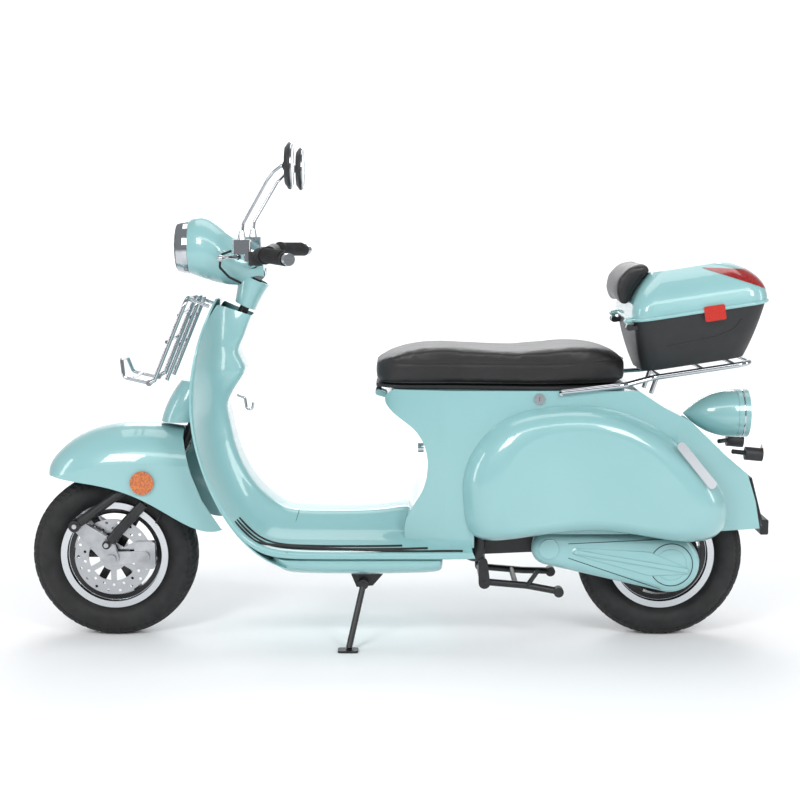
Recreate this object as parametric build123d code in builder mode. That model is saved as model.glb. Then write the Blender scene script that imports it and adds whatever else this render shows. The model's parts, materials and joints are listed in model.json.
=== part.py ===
from build123d import *
from math import atan2, cos, degrees, hypot, radians, sin, tan
import os

# Retro electric moped scooter, in millimetres.
# The front of the scooter points to -X, its left side to -Y and up is +Z.
# The floor is Z = 0. Steering, wheels and suspension stand at rest.

os.makedirs("parts", exist_ok=True)

# ---------------------------------------------------------------- driving dimensions
front_axle_x = -748.0
wheelbase = 1430.0
tyre_diameter = 432.0
tyre_width = 92.0
tread_flat = 46.0
rim_seat_radius = 127.0
rim_flange_radius = 140.5
rim_width = 66.0
flange_thickness = 4.2
rake = 24.6
head_top = (-403.0, 0.0, 862.0)
head_tube_length = 300.0
head_tube_radius = 19.5
stem_radius = 12.5
axle_radius = 7.5
pin_radius = 6.0
running_clearance = 0.05
gap = 0.3
sheet = 3.0
plastic = 4.0
fork_spread = 92.0
fork_tube_radius = 12.0
link_inside = 62.0
link_thickness = 16.0
disc_radius = 100.0
disc_thickness = 4.0
disc_inside = 46.0
fender_cover = 23.0
shield_half_width = 215.0
floor_half_width = 188.0
floor_height = 256.0
tunnel_height = 340.0
floor_rear = 187.0
belly_height = 182.0
body_half_width = 150.0
body_top = 664.0
cowl_half_width = 212.0
seat_length = 654.0
seat_half_width = 146.0
seat_bottom = 674.0
seat_top = 766.0
seat_front = -70.0
bar_radius = 11.0
bar_height = 980.0
bar_centre_x = -374.0
grip_radius = 17.0
grip_length = 120.0
mirror_radius = 57.0
rack_slope = 8.7
rack_tube_radius = 7.0
case_length = 318.0
case_half_width = 186.0
case_depth = 112.0

# ---------------------------------------------------------------- places worked out from them
fender_half_width = fork_spread + fender_cover
rear_axle_x = front_axle_x + wheelbase
axle_z = tyre_diameter / 2
tyre_radius = tyre_diameter / 2
steer_up = (sin(radians(rake)), 0.0, cos(radians(rake)))
steer_back = (cos(radians(rake)), 0.0, -sin(radians(rake)))
steering = Plane(origin=head_top, x_dir=steer_back, z_dir=steer_up)
link_pivot = (front_axle_x - 89.0, axle_z + 91.0)
front_shock_top = (front_axle_x + 99.0, axle_z + 160.0)
front_shock_foot = (front_axle_x - 8.0, axle_z + 42.0)


def axle_plane(x, z=axle_z):
    """A plane through an axle: local x runs along the axle, local y is the radius."""
    return Plane(origin=(x, 0, z), x_dir=(0, 1, 0), z_dir=(1, 0, 0))


def axle_axis(x, z=axle_z):
    return Axis((x, 0, z), (0, 1, 0))


def left_plane(y, x=0.0, z=0.0):
    """A plane seen from the left: local x is +X, local y is +Z, extrusion goes to the left."""
    return Plane(origin=(x, y, z), x_dir=(1, 0, 0), z_dir=(0, -1, 0))


def rod(start, end, radius):
    """A round bar between two points."""
    axis = Vector(*end) - Vector(*start)
    with BuildPart() as bar:
        with BuildSketch(Plane(origin=start, z_dir=axis)):
            Circle(radius)
        extrude(amount=axis.length)
    return bar.part


def cross_rod(x, z, y_low, y_high, radius):
    """A round bar that lies across the scooter."""
    return rod((x, y_low, z), (x, y_high, z), radius)


def bent_tube(points, radius, bend):
    """A tube whose straight runs are joined by arcs."""
    with BuildPart() as tube:
        with BuildLine() as route:
            FilletPolyline(*points, radius=bend)
        with BuildSketch(Plane(origin=route.line @ 0, z_dir=route.line % 0)):
            Circle(radius)
        sweep()
    return tube.part


def arch(half_width, low, high, roundness=0.8):
    """An upright arch in a lengthwise station: flat foot, straight sides, round top."""
    spring = max(low + 1.0, high - roundness * half_width)
    with BuildLine() as outline:
        Line((half_width, low), (-half_width, low))
        Line((-half_width, low), (-half_width, spring))
        ThreePointArc((-half_width, spring), (0, high), (half_width, spring))
        Line((half_width, spring), (half_width, low))
    make_face(outline.edges())


# ---------------------------------------------------------------- wheels
def tyre_section():
    """Carcass with a flat running band, round shoulders and two beads."""
    bead = rim_width / 2 - flange_thickness - gap
    wall = 9.0
    flat = tread_flat / 2
    shoulder = (tyre_width / 2 - 9.0, tyre_radius - 13.0)
    bulge = (tyre_width / 2, tyre_radius - 44.0)
    heel = (bead, rim_flange_radius + 1.0)
    with BuildLine() as outline:
        Line((-flat, tyre_radius), (flat, tyre_radius))
        Line((flat, tyre_radius), shoulder)
        ThreePointArc(shoulder, bulge, heel)
        Line(heel, (bead, rim_seat_radius + gap))
        Line((bead, rim_seat_radius + gap), (bead - wall, rim_seat_radius + gap))
        Line((bead - wall, rim_seat_radius + gap), (bead - wall, heel[1]))
        ThreePointArc((bead - wall, heel[1]), (bulge[0] - wall, bulge[1]), (flat, tyre_radius - 15.0))
        Line((flat, tyre_radius - 15.0), (-flat, tyre_radius - 15.0))
        ThreePointArc((-flat, tyre_radius - 15.0), (wall - bulge[0], bulge[1]), (wall - bead, heel[1]))
        Line((wall - bead, heel[1]), (wall - bead, rim_seat_radius + gap))
        Line((wall - bead, rim_seat_radius + gap), (-bead, rim_seat_radius + gap))
        Line((-bead, rim_seat_radius + gap), (-bead, heel[1]))
        ThreePointArc((-bead, heel[1]), (-bulge[0], bulge[1]), (-shoulder[0], shoulder[1]))
        Line((-shoulder[0], shoulder[1]), (-flat, tyre_radius))
    make_face(outline.edges())


def rim_section():
    """Pressed drop-centre rim with two flanges."""
    edge = rim_width / 2
    lip = edge - flange_thickness
    well = rim_seat_radius - 15.0
    half = [
        (14.0, well),
        (16.0, rim_seat_radius),
        (lip, rim_seat_radius),
        (lip, rim_flange_radius),
        (edge, rim_flange_radius),
        (edge, rim_seat_radius - sheet),
        (18.0, rim_seat_radius - 1.5 * sheet),
        (16.0, well - sheet),
    ]
    other = [(-y, r) for y, r in reversed(half)]
    with BuildLine() as outline:
        Polyline(*half, *other, close=True)
    make_face(outline.edges())


spoke_count = 6
hub_radius = 28.0
with BuildPart() as front_tyre:
    with BuildSketch(axle_plane(front_axle_x)):
        tyre_section()
    revolve(axis=axle_axis(front_axle_x))
front_tyre.part.label = "front_tyre"
export_step(front_tyre.part, "parts/front_tyre.step")

with BuildPart() as rear_tyre:
    with BuildSketch(axle_plane(rear_axle_x)):
        tyre_section()
    revolve(axis=axle_axis(rear_axle_x))
rear_tyre.part.label = "rear_tyre"
export_step(rear_tyre.part, "parts/rear_tyre.step")

with BuildPart() as front_rim:
    with BuildSketch(axle_plane(front_axle_x)):
        rim_section()
    revolve(axis=axle_axis(front_axle_x))
    with BuildSketch(left_plane(34.0, front_axle_x, axle_z)):
        Circle(hub_radius)
    extrude(amount=34.0 + disc_inside)
    with BuildSketch(left_plane(10.0, front_axle_x, axle_z)):
        with PolarLocations((hub_radius + rim_seat_radius) / 2 - 8.0, spoke_count):
            Rectangle(rim_seat_radius - hub_radius - 10.0, 20)
    extrude(amount=20.0)
    with BuildSketch(left_plane(40.0, front_axle_x, axle_z)):
        Circle(axle_radius + running_clearance)
    extrude(amount=100.0, mode=Mode.SUBTRACT)
front_rim.part.label = "front_rim"
export_step(front_rim.part, "parts/front_rim.step")

# Brake disc: a drilled ring on a six-armed carrier, bolted to the left end of the hub.
with BuildPart() as front_disc:
    with BuildSketch(left_plane(-disc_inside, front_axle_x, axle_z)):
        Circle(disc_radius)
        Circle(disc_radius - 36.0, mode=Mode.SUBTRACT)
        Circle(36.0)
        with PolarLocations(50.0, 6, start_angle=30):
            Rectangle(36, 14)
        with PolarLocations(disc_radius - 9.0, 18):
            Circle(4.0, mode=Mode.SUBTRACT)
        with PolarLocations(disc_radius - 25.0, 18, start_angle=10):
            Circle(4.0, mode=Mode.SUBTRACT)
        Circle(axle_radius + 1.5, mode=Mode.SUBTRACT)
    extrude(amount=disc_thickness)
front_disc.part.label = "front_disc"
export_step(front_disc.part, "parts/front_disc.step")

# Rear wheel: the rim is one casting with the electric hub motor.
motor_radius = 98.0
motor_half_width = 52.0
with BuildPart() as hub_motor:
    with BuildSketch(axle_plane(rear_axle_x)):
        rim_section()
    revolve(axis=axle_axis(rear_axle_x))
    with BuildSketch(left_plane(motor_half_width, rear_axle_x, axle_z)):
        Circle(motor_radius)
    extrude(amount=2 * motor_half_width)
    chamfer(hub_motor.edges().filter_by(GeomType.CIRCLE).filter_by(
        lambda edge: abs(edge.radius - motor_radius) < 0.1), 10.0)
    with BuildSketch(left_plane(12.0, rear_axle_x, axle_z)):
        with PolarLocations(motor_radius + 5.0, spoke_count):
            Rectangle(28, 30)
    extrude(amount=24.0)
    with BuildSketch(left_plane(60.0, rear_axle_x, axle_z)):
        Circle(axle_radius + running_clearance)
    extrude(amount=120.0, mode=Mode.SUBTRACT)
hub_motor.part.label = "hub_motor"
export_step(hub_motor.part, "parts/hub_motor.step")

# ---------------------------------------------------------------- front suspension
link_arm_y = link_inside + link_thickness
with BuildPart() as front_link:
    for side in (-1, 1):
        with BuildSketch(left_plane(side * (link_inside + link_thickness / 2), 0, 0)):
            with Locations(link_pivot):
                Circle(15.0)
            with Locations((front_axle_x, axle_z)):
                Circle(20.0)
            with Locations(front_shock_foot):
                Circle(13.0)
            make_hull()
        extrude(amount=link_thickness / 2, both=True)
        outer = side * (fork_spread + fork_tube_radius + 2.0)
        add(cross_rod(*link_pivot, side * link_inside, outer, pin_radius))
        add(cross_rod(*front_shock_foot, side * link_inside, outer, pin_radius))
        add(cross_rod(front_axle_x, axle_z, side * link_inside, side * (link_arm_y + 9.0), 13.0))
    with BuildSketch(left_plane(-link_inside)):
        with Locations((front_axle_x, axle_z)):
            Circle(18.0)
        with Locations((front_axle_x + 84.0, axle_z + 4.0)):
            Circle(13.0)
        make_hull()
    extrude(amount=8.0)
    add(cross_rod(front_axle_x, axle_z, -link_arm_y, link_arm_y, axle_radius))
front_link.part.label = "front_link"
export_step(front_link.part, "parts/front_link.step")

caliper_inside = disc_inside - 8.0
pad_gap = 1.0
with BuildPart() as brake_caliper:
    with BuildSketch(left_plane(-caliper_inside, front_axle_x + 84.0, axle_z + 6.0)):
        RectangleRounded(54, 72, 9)
    extrude(amount=link_inside - caliper_inside)
    with BuildSketch(left_plane(pad_gap - disc_inside, front_axle_x, axle_z)):
        Circle(disc_radius + 1.5)
    extrude(amount=disc_thickness + 2 * pad_gap, mode=Mode.SUBTRACT)
brake_caliper.part.label = "brake_caliper"
export_step(brake_caliper.part, "parts/brake_caliper.step")


def shock(top, foot, y, eye_radius, can_radius, eye_width):
    """Spring and damper in one tube, with a rubber-bushed eye at each end."""
    along = Vector(foot[0] - top[0], 0, foot[1] - top[1])
    reach = eye_radius + 3.0
    upper = Vector(top[0], y, top[1]) + along.normalized() * (eye_radius - 2.0)
    lower = Vector(foot[0], y, foot[1]) - along.normalized() * (eye_radius - 2.0)
    can_top = Vector(top[0], y, top[1]) + along.normalized() * reach
    can_foot = Vector(foot[0], y, foot[1]) - along.normalized() * reach
    with BuildPart() as unit:
        add(rod(tuple(upper), tuple(lower), 6.0))
        add(rod(tuple(can_top), tuple(can_foot), can_radius))
        for x, z in (top, foot):
            add(cross_rod(x, z, y - eye_width / 2, y + eye_width / 2, eye_radius))
            add(cross_rod(x, z, y - eye_width, y + eye_width, pin_radius + gap), mode=Mode.SUBTRACT)
    return unit.part


with BuildPart() as front_shocks:
    add(shock(front_shock_top, front_shock_foot, -fork_spread, 11.0, 13.0, 16.0))
    mirror(about=Plane.XZ)
front_shocks.part.label = "front_shocks"
export_step(front_shocks.part, "parts/front_shocks.step")

# ---------------------------------------------------------------- steering fork
crown_drop = 415.0
crown_half_width = 84.0
stem_rise = 104.0
crown = steering.offset(-crown_drop)
leg_top = (crown.origin.X - 6.0, crown.origin.Z + 8.0)
with BuildPart() as steering_fork:
    with BuildSketch(crown):
        Circle(stem_radius)
    extrude(amount=crown_drop + stem_rise)
    with BuildSketch(crown):
        with Locations((-8.0, 0)):
            RectangleRounded(44, 2 * crown_half_width, 11)
    extrude(amount=18.0)
    for side in (-1, 1):
        y = side * fork_spread
        leg_y = side * (crown_half_width - fork_tube_radius)
        add(rod((leg_top[0], leg_y, leg_top[1]), (link_pivot[0] + 12.0, y, link_pivot[1] + 9.0), fork_tube_radius))
        add(cross_rod(*link_pivot, y - 11.0, y + 11.0, 15.0))
        plate_inside = side * (fork_spread - fork_tube_radius)
        with BuildSketch(left_plane(plate_inside + side * 1.5)):
            with Locations((front_shock_top[0] - 10.0, front_shock_top[1] + 68.0)):
                Circle(14.0)
            with Locations(front_shock_top):
                Circle(13.0)
            make_hull()
        extrude(amount=1.5, both=True)
        add(cross_rod(*front_shock_top, plate_inside, side * (fork_spread + 11.0), pin_radius))
        add(cross_rod(*link_pivot, y - 14.0, y + 14.0, pin_radius + running_clearance), mode=Mode.SUBTRACT)
steering_fork.part.label = "steering_fork"
export_step(steering_fork.part, "parts/steering_fork.step")

# ---------------------------------------------------------------- front fender
# Each station: place along the wheel, half width, height of the skirt, height of the crown.
fender_stations = (
    (-167.0, 26.0, 436.0, 452.0),
    (-148.0, 66.0, 431.0, 482.0),
    (-102.0, 96.0, 425.0, 522.0),
    (-32.0, 111.0, 416.0, 553.0),
    (48.0, fender_half_width, 395.0, 565.0),
    (128.0, fender_half_width, 356.0, 563.0),
    (208.0, 110.0, 309.0, 552.0),
    (300.0, 98.0, 303.0, 540.0),
)


def fender_block(shrink, drop, ahead):
    """The fender's volume, smaller by its sheet and open below when it is a cutter."""
    with BuildPart() as block:
        for place, half_width, skirt, top in fender_stations:
            shift = ahead if place == fender_stations[0][0] else 0.0
            with BuildSketch(Plane.YZ.offset(front_axle_x + place + shift)):
                arch(half_width - shrink, skirt - drop, top - shrink)
        loft()
    return block.part


with BuildPart() as front_fender:
    add(fender_block(0.0, 0.0, 0.0))
    add(fender_block(sheet, 12.0, 6.0), mode=Mode.SUBTRACT)
    with BuildSketch(left_plane(200.0, front_axle_x, axle_z)):
        with BuildLine():
            Polyline((186.0, 360.0), (190.0, 315.0), (214.0, 226.0), (240.0, 158.0), (288.0, 84.0),
                     (340.0, 60.0), (340.0, 360.0), close=True)
        make_face()
    extrude(amount=400.0, mode=Mode.SUBTRACT)
    with BuildSketch(crown.offset(-30.0)):
        with Locations((14.0, 0)):
            Rectangle(60, 2 * stem_radius + 16.0)
    extrude(amount=120.0, mode=Mode.SUBTRACT)
front_fender.part.label = "front_fender"
export_step(front_fender.part, "parts/front_fender.step")

reflector_place = (front_axle_x + 90.0, axle_z + 208.0)
with BuildPart() as fender_reflectors:
    with BuildSketch(left_plane(-fender_half_width - 1.2, *reflector_place)):
        Circle(30.0)
    extrude(amount=8.0)
    mirror(about=Plane.XZ)
fender_reflectors.part.label = "fender_reflectors"
export_step(fender_reflectors.part, "parts/fender_reflectors.step")

# ---------------------------------------------------------------- headset cover and headlamp
lamp_front = -541.0
lamp_height = 1019.0
lamp_radius = 68.0
# Each station: place, height of the middle, half width, half height.
lamp_stations = (
    (lamp_front, lamp_height, lamp_radius, lamp_radius),
    (lamp_front + 31.0, lamp_height, 78.0, 79.0),
    (lamp_front + 111.0, 986.0, 68.0, 65.0),
    (lamp_front + 193.0, 968.0, 48.0, 36.0),
)
# Each station: height up the steering axis, shift, half length, half width.
neck_stations = ((8.0, 0.0, 29.0, 40.0), (42.0, -4.0, 34.0, 44.0), (82.0, -8.0, 44.0, 48.0))


def lamp_block(shrink, ahead):
    with BuildPart() as block:
        for place, height, half_width, half_height in lamp_stations:
            end = ahead if place == lamp_front else -shrink if place > lamp_front + 150.0 else 0.0
            with BuildSketch(Plane.YZ.offset(place + end)):
                with Locations((0, height)):
                    Ellipse(half_width - shrink, half_height - shrink)
        loft()
    return block.part


def neck_block(shrink, below, above):
    with BuildPart() as block:
        for rise, shift, half_length, half_width in neck_stations:
            move = -below if rise == neck_stations[0][0] else above if rise == neck_stations[-1][0] else 0.0
            with BuildSketch(steering.offset(rise + move)):
                with Locations((shift, 0)):
                    Ellipse(half_length - shrink, half_width - shrink)
        loft()
    return block.part


with BuildPart() as headset_cover:
    add(lamp_block(0.0, 0.0))
    add(neck_block(0.0, 0.0, 0.0))
    add(lamp_block(sheet, -2.0), mode=Mode.SUBTRACT)
    add(neck_block(sheet, 4.0, 34.0), mode=Mode.SUBTRACT)
    add(cross_rod(bar_centre_x, bar_height, -110.0, 110.0, bar_radius + 3.0), mode=Mode.SUBTRACT)
headset_cover.part.label = "headset_cover"
export_step(headset_cover.part, "parts/headset_cover.step")

lens_radius = 57.0
rim_depth = 29.0
with BuildPart() as headlamp_rim:
    with BuildSketch(Plane.XZ):
        with BuildLine():
            Polyline((lamp_front, lamp_height + lamp_radius + 1.0), (lamp_front - 12.0, lamp_height + lamp_radius),
                     (lamp_front - rim_depth, lamp_height + 63.0), (lamp_front - rim_depth, lamp_height + lens_radius),
                     (lamp_front, lamp_height + lens_radius), close=True)
        make_face()
    revolve(axis=Axis((0, 0, lamp_height), (1, 0, 0)))
headlamp_rim.part.label = "headlamp_rim"
export_step(headlamp_rim.part, "parts/headlamp_rim.step")

with BuildPart() as headlamp_lens:
    with BuildSketch(Plane(origin=(lamp_front - 6.0, 0, lamp_height), z_dir=(-1, 0, 0))):
        Circle(lens_radius - gap)
    extrude(amount=14.0)
    with BuildSketch(Plane(origin=(lamp_front - 20.0, 0, lamp_height), z_dir=(-1, 0, 0))):
        Circle(lens_radius - gap)
    extrude(amount=13.0, taper=55)
headlamp_lens.part.label = "headlamp_lens"
export_step(headlamp_lens.part, "parts/headlamp_lens.step")

# ---------------------------------------------------------------- handlebar and controls
bar_end = (-268.0, 342.0, 1001.0)
bar_bend = (-338.0, 222.0, 1006.0)
bar_root = (bar_centre_x, 90.0, bar_height)


def on_side(point, side):
    return (point[0], side * point[1], point[2])


def between(start, end, share):
    return tuple(a + (b - a) * share for a, b in zip(start, end))


def along_grip(distance, side):
    """A point on the grip run, at this distance in from the end of the bar."""
    run = (Vector(*bar_bend) - Vector(*bar_end)).length
    return between(on_side(bar_end, side), on_side(bar_bend, side), distance / run)


def along_rise(share, side):
    return between(on_side(bar_root, side), on_side(bar_bend, side), share)


clamp_top = steering.offset(stem_rise).origin
route = [on_side(p, -1) for p in (bar_end, bar_bend, bar_root)] + [bar_root, bar_bend, bar_end]
with BuildPart() as handlebar:
    add(bent_tube(route, bar_radius, 55.0))
    with BuildSketch(left_plane(0.0)):
        with Locations((bar_centre_x, bar_height)):
            Circle(17.0)
        with Locations((clamp_top.X - 3.0, clamp_top.Z - 6.0)):
            Circle(16.0)
        make_hull()
    extrude(amount=14.0, both=True)
    for side in (-1, 1):
        add(rod(along_grip(0.0, side), along_grip(-16.0, side), 15.0))
    with BuildSketch(steering):
        Circle(stem_radius + running_clearance)
    extrude(amount=stem_rise + running_clearance, mode=Mode.SUBTRACT)
handlebar.part.label = "handlebar"
export_step(handlebar.part, "parts/handlebar.step")


def grip(side, clearance):
    """A ribbed rubber sleeve with a flange at its inner end."""
    with BuildPart() as sleeve:
        add(rod(along_grip(1.0, side), along_grip(grip_length, side), grip_radius))
        add(rod(along_grip(grip_length - 6.0, side), along_grip(grip_length, side), grip_radius + 4.0))
        add(rod(along_grip(-5.0, side), along_grip(grip_length + 5.0, side), bar_radius + clearance), mode=Mode.SUBTRACT)
    return sleeve.part


with BuildPart() as left_grip:
    add(grip(-1, running_clearance))
left_grip.part.label = "left_grip"
export_step(left_grip.part, "parts/left_grip.step")

with BuildPart() as throttle_grip:
    add(grip(1, 2 * running_clearance))
throttle_grip.part.label = "throttle_grip"
export_step(throttle_grip.part, "parts/throttle_grip.step")

# Switch clusters clamp on the bar beside the grips; each has a pocket for its thumb button.
button_radius = 5.0
cluster_start = 0.64
cluster_end = 0.9


def button_place(side):
    x, y, z = along_rise((cluster_start + cluster_end) / 2, side)
    return (x + 6.0, y, z)


with BuildPart() as control_clusters:
    for side in (-1, 1):
        middle = along_rise((cluster_start + cluster_end) / 2, side)
        add(rod(along_rise(cluster_start, side), along_rise(cluster_end, side), 20.0))
        with BuildSketch(Plane(origin=(middle[0] - 8.0, middle[1], middle[2] - 20.0))):
            RectangleRounded(34, 30, 6)
        extrude(amount=34.0)
    for side in (-1, 1):
        add(bent_tube(route, bar_radius + running_clearance, 55.0), mode=Mode.SUBTRACT)
        x, y, z = button_place(side)
        add(rod((x + 6.0, y, z), (x + 40.0, y, z), button_radius + gap), mode=Mode.SUBTRACT)
control_clusters.part.label = "control_clusters"
export_step(control_clusters.part, "parts/control_clusters.step")

for name, side in (("horn_button", -1), ("start_button", 1)):
    x, y, z = button_place(side)
    with BuildPart() as button:
        add(rod((x + 10.0, y, z), (x + 18.0, y, z), button_radius))
    button.part.label = name
    export_step(button.part, f"parts/{name}.step")

# Lever clamp and brake fluid reservoir in one chromed block on each side.
lever_pivot = (-402.0, 156.0, 1000.0)
lever_tip = (-430.0, 286.0, 1001.0)
with BuildPart() as master_cylinders:
    for side in (-1, 1):
        add(rod(along_rise(0.34, side), along_rise(0.58, side), 16.0))
        with BuildSketch(Plane(origin=(-392.0, side * 148.0, 1006.0))):
            RectangleRounded(44, 34, 5)
        extrude(amount=36.0)
        with BuildSketch(Plane(origin=(-375.0, side * 146.0, 988.0))):
            RectangleRounded(24, 24, 4)
        extrude(amount=20.0)
    add(bent_tube(route, bar_radius + running_clearance, 55.0), mode=Mode.SUBTRACT)
    for side in (-1, 1):
        x, y, z = on_side(lever_pivot, side)
        add(rod((x, y, z + 12.0), (x, y, z - 8.0), 4.0))
master_cylinders.part.label = "master_cylinders"
export_step(master_cylinders.part, "parts/master_cylinders.step")

for name, side in (("brake_lever_left", -1), ("brake_lever_right", 1)):
    pivot = on_side(lever_pivot, side)
    tip = on_side(lever_tip, side)
    with BuildPart() as lever:
        add(rod(pivot, tip, 5.0))
        with BuildSketch(Plane(origin=(pivot[0], pivot[1], pivot[2] - 5.0))):
            Circle(9.0)
        extrude(amount=10.0)
        with Locations(tip):
            Sphere(8.0)
        with BuildSketch(Plane(origin=(pivot[0], pivot[1], pivot[2] - 9.0))):
            Circle(4.0 + running_clearance)
        extrude(amount=20.0, mode=Mode.SUBTRACT)
    lever.part.label = name
    export_step(lever.part, f"parts/{name}.step")

# ---------------------------------------------------------------- mirrors
mirror_ball = (-287.0, 208.0, 1222.0)
ball_radius = 5.5
stem_route = ((-392.0, 148.0, 1044.0), (-388.0, 149.0, 1082.0), (-326.0, 168.0, 1188.0), (-308.0, 186.0, 1208.0),
              mirror_ball)
with BuildPart() as mirror_stems:
    for side in (-1, 1):
        add(bent_tube([on_side(p, side) for p in stem_route], 4.0, 9.0))
        foot = on_side((stem_route[0][0], stem_route[0][1], 1042.2), side)
        with BuildSketch(Plane(origin=foot)):
            Circle(11.0)
        extrude(amount=22.0, taper=12)
        with Locations(on_side(mirror_ball, side)):
            Sphere(ball_radius)
mirror_stems.part.label = "mirror_stems"
export_step(mirror_stems.part, "parts/mirror_stems.step")

for name, side in (("mirror_head_left", -1), ("mirror_head_right", 1)):
    x, y, z = on_side(mirror_ball, side)
    with BuildPart() as head:
        with BuildSketch(Plane(origin=(x + 17.0, y, z), z_dir=(1, 0, 0))):
            Circle(mirror_radius)
        extrude(amount=9.0)
        with BuildSketch(Plane(origin=(x + 17.0, y, z), z_dir=(-1, 0, 0))):
            Circle(mirror_radius)
        extrude(amount=9.0, taper=55)
        add(rod((x + 3.0, y, z), (x + 10.0, y, z), 9.5))
        add(rod((x - 2.0, y, z), (x + ball_radius + 2.0, y, z), ball_radius + gap), mode=Mode.SUBTRACT)
    head.part.label = name
    export_step(head.part, f"parts/{name}.step")

# Brake hoses: two loops from the lever clamps into the headset, one down to the caliper.
hose_radius = 3.0
hose_loop = ((-419.0, 148.0, 1014.0), (-446.0, 138.0, 1004.0), (-452.0, 112.0, 972.0), (-432.0, 84.0, 946.0),
             (-404.0, 62.0, 930.0))
with BuildPart() as brake_hoses:
    for side in (-1, 1):
        add(bent_tube([on_side(p, side) for p in hose_loop], hose_radius, 14.0))
    add(bent_tube([(-588.0, -56.0, 470.0), (-596.0, -57.0, 400.0), (-616.0, -56.0, 350.0), (-634.0, -55.0, 306.0)],
                  hose_radius, 40.0))
brake_hoses.part.label = "brake_hoses"
export_step(brake_hoses.part, "parts/brake_hoses.step")

# ---------------------------------------------------------------- main frame
head_tube_start = 20.0
head_bore = 16.0
spine_radius = 18.0
spine_height = 240.0
tube_on_axis = steering.offset(-178.0).origin
bearing_height = 14.0
swing_pivot = (rear_axle_x - 302.0, axle_z + 38.0)
pivot_bolt_radius = 8.0
bush_half = 57.0
rail_radius = 13.0
rail_y = 118.0
rail_top = 622.0
with BuildPart() as main_frame:
    with BuildSketch(steering.offset(-head_tube_start - head_tube_length)):
        Circle(head_tube_radius)
    extrude(amount=head_tube_length)
    add(bent_tube([tuple(tube_on_axis), (-468.0, 0.0, 520.0), (-390.0, 0.0, 340.0), (-300.0, 0.0, spine_height),
                   (116.0, 0.0, spine_height)], spine_radius, 60.0))
    for side in (-1, 1):
        add(bent_tube([(140.0, side * 60.0, spine_height), (204.0, side * rail_y, spine_height - 14.0),
                       (208.0, side * rail_y, rail_top), (600.0, side * rail_y, rail_top),
                       (740.0, side * 84.0, 540.0)], rail_radius, 22.0))
        with BuildSketch(left_plane(side * (bush_half + 4.3))):
            with Locations(swing_pivot):
                Circle(20.0)
            with Locations((150.0, spine_height)):
                Circle(16.0)
            make_hull()
        extrude(amount=4.0, both=True)
    for x, z in ((140.0, spine_height), (320.0, rail_top), (600.0, rail_top)):
        half = bush_half + 8.0 if z == spine_height else rail_y
        add(cross_rod(x, z, -half, half, rail_radius))
    add(cross_rod(*swing_pivot, -bush_half - 14.0, bush_half + 14.0, pivot_bolt_radius))
    with BuildSketch(steering.offset(-head_tube_start - head_tube_length - 60.0)):
        Circle(head_bore)
    extrude(amount=head_tube_length + 100.0, mode=Mode.SUBTRACT)
main_frame.part.label = "main_frame"
export_step(main_frame.part, "parts/main_frame.step")

with BuildPart() as head_bearings:
    for drop in (head_tube_start + bearing_height, head_tube_start + head_tube_length):
        with BuildSketch(steering.offset(-drop)):
            Circle(head_bore - running_clearance)
            Circle(stem_radius + running_clearance, mode=Mode.SUBTRACT)
        extrude(amount=bearing_height)
head_bearings.part.label = "head_bearings"
export_step(head_bearings.part, "parts/head_bearings.step")

# ---------------------------------------------------------------- leg shield and knee panel
# The shield's side curve from its top lip down to the floor, then the same curve's widths.
shield_curve = ((-470.0, 890.0), (-512.0, 740.0), (-520.0, 610.0), (-494.0, 470.0), (-440.0, 345.0),
                (-372.0, 262.0), (-292.0, 217.0))
shield_widths = ((56.0, 890.0), (132.0, 846.0), (190.0, 778.0), (shield_half_width, 680.0),
                 (shield_half_width, 560.0), (204.0, 450.0), (190.0, 330.0), (184.0, 212.0))
with BuildPart() as leg_shield:
    with BuildSketch(left_plane(260.0)):
        with BuildLine():
            Spline(*shield_curve)
            Spline(*[(x + 1.4 * plastic, z) for x, z in shield_curve])
            Line(shield_curve[0], (shield_curve[0][0] + 1.4 * plastic, shield_curve[0][1]))
            Line(shield_curve[-1], (shield_curve[-1][0] + 1.4 * plastic, shield_curve[-1][1]))
        make_face()
    extrude(amount=520.0)
    with BuildSketch(Plane.YZ.offset(-700.0)):
        with BuildLine():
            Spline(*shield_widths)
            Spline(*[(-y, z) for y, z in shield_widths])
            Line(shield_widths[0], (-shield_widths[0][0], shield_widths[0][1]))
            Line(shield_widths[-1], (-shield_widths[-1][0], shield_widths[-1][1]))
        make_face()
    extrude(amount=600.0, mode=Mode.INTERSECT)
    with BuildSketch(steering.offset(-head_tube_start - head_tube_length - 60.0)):
        Circle(head_tube_radius + 2.0)
    extrude(amount=head_tube_length + 60.0, mode=Mode.SUBTRACT)
leg_shield.part.label = "leg_shield"
export_step(leg_shield.part, "parts/leg_shield.step")

# Each station: height, front, rear and half width of the moulding behind the shield.
knee_stations = (
    (262.0, -350.0, -312.0, 176.0),
    (375.0, -440.0, -343.0, 178.0),
    (453.0, -474.0, -400.0, 188.0),
    (550.0, -500.0, -432.0, 198.0),
    (650.0, -508.0, -432.0, 204.0),
    (754.0, -500.0, -410.0, 184.0),
    (846.0, -474.0, -364.0, 112.0),
)


def knee_block(shrink, ahead):
    with BuildPart() as block:
        for height, front, rear, half_width in knee_stations:
            end = (shrink > 0) * (-6.0 if height == knee_stations[0][0] else 6.0 if height > 840.0 else 0.0)
            face = front - ahead
            edge = half_width - shrink
            with BuildSketch(Plane.XY.offset(height + end)):
                with BuildLine():
                    Line((face, edge), (face, -edge))
                    ThreePointArc((face, -edge), (rear - shrink, 0.0), (face, edge))
                make_face()
        loft()
    return block.part


with BuildPart() as knee_panel:
    add(knee_block(0.0, 0.0))
    add(knee_block(plastic, 9.0), mode=Mode.SUBTRACT)
knee_panel.part.label = "knee_panel"
export_step(knee_panel.part, "parts/knee_panel.step")

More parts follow.
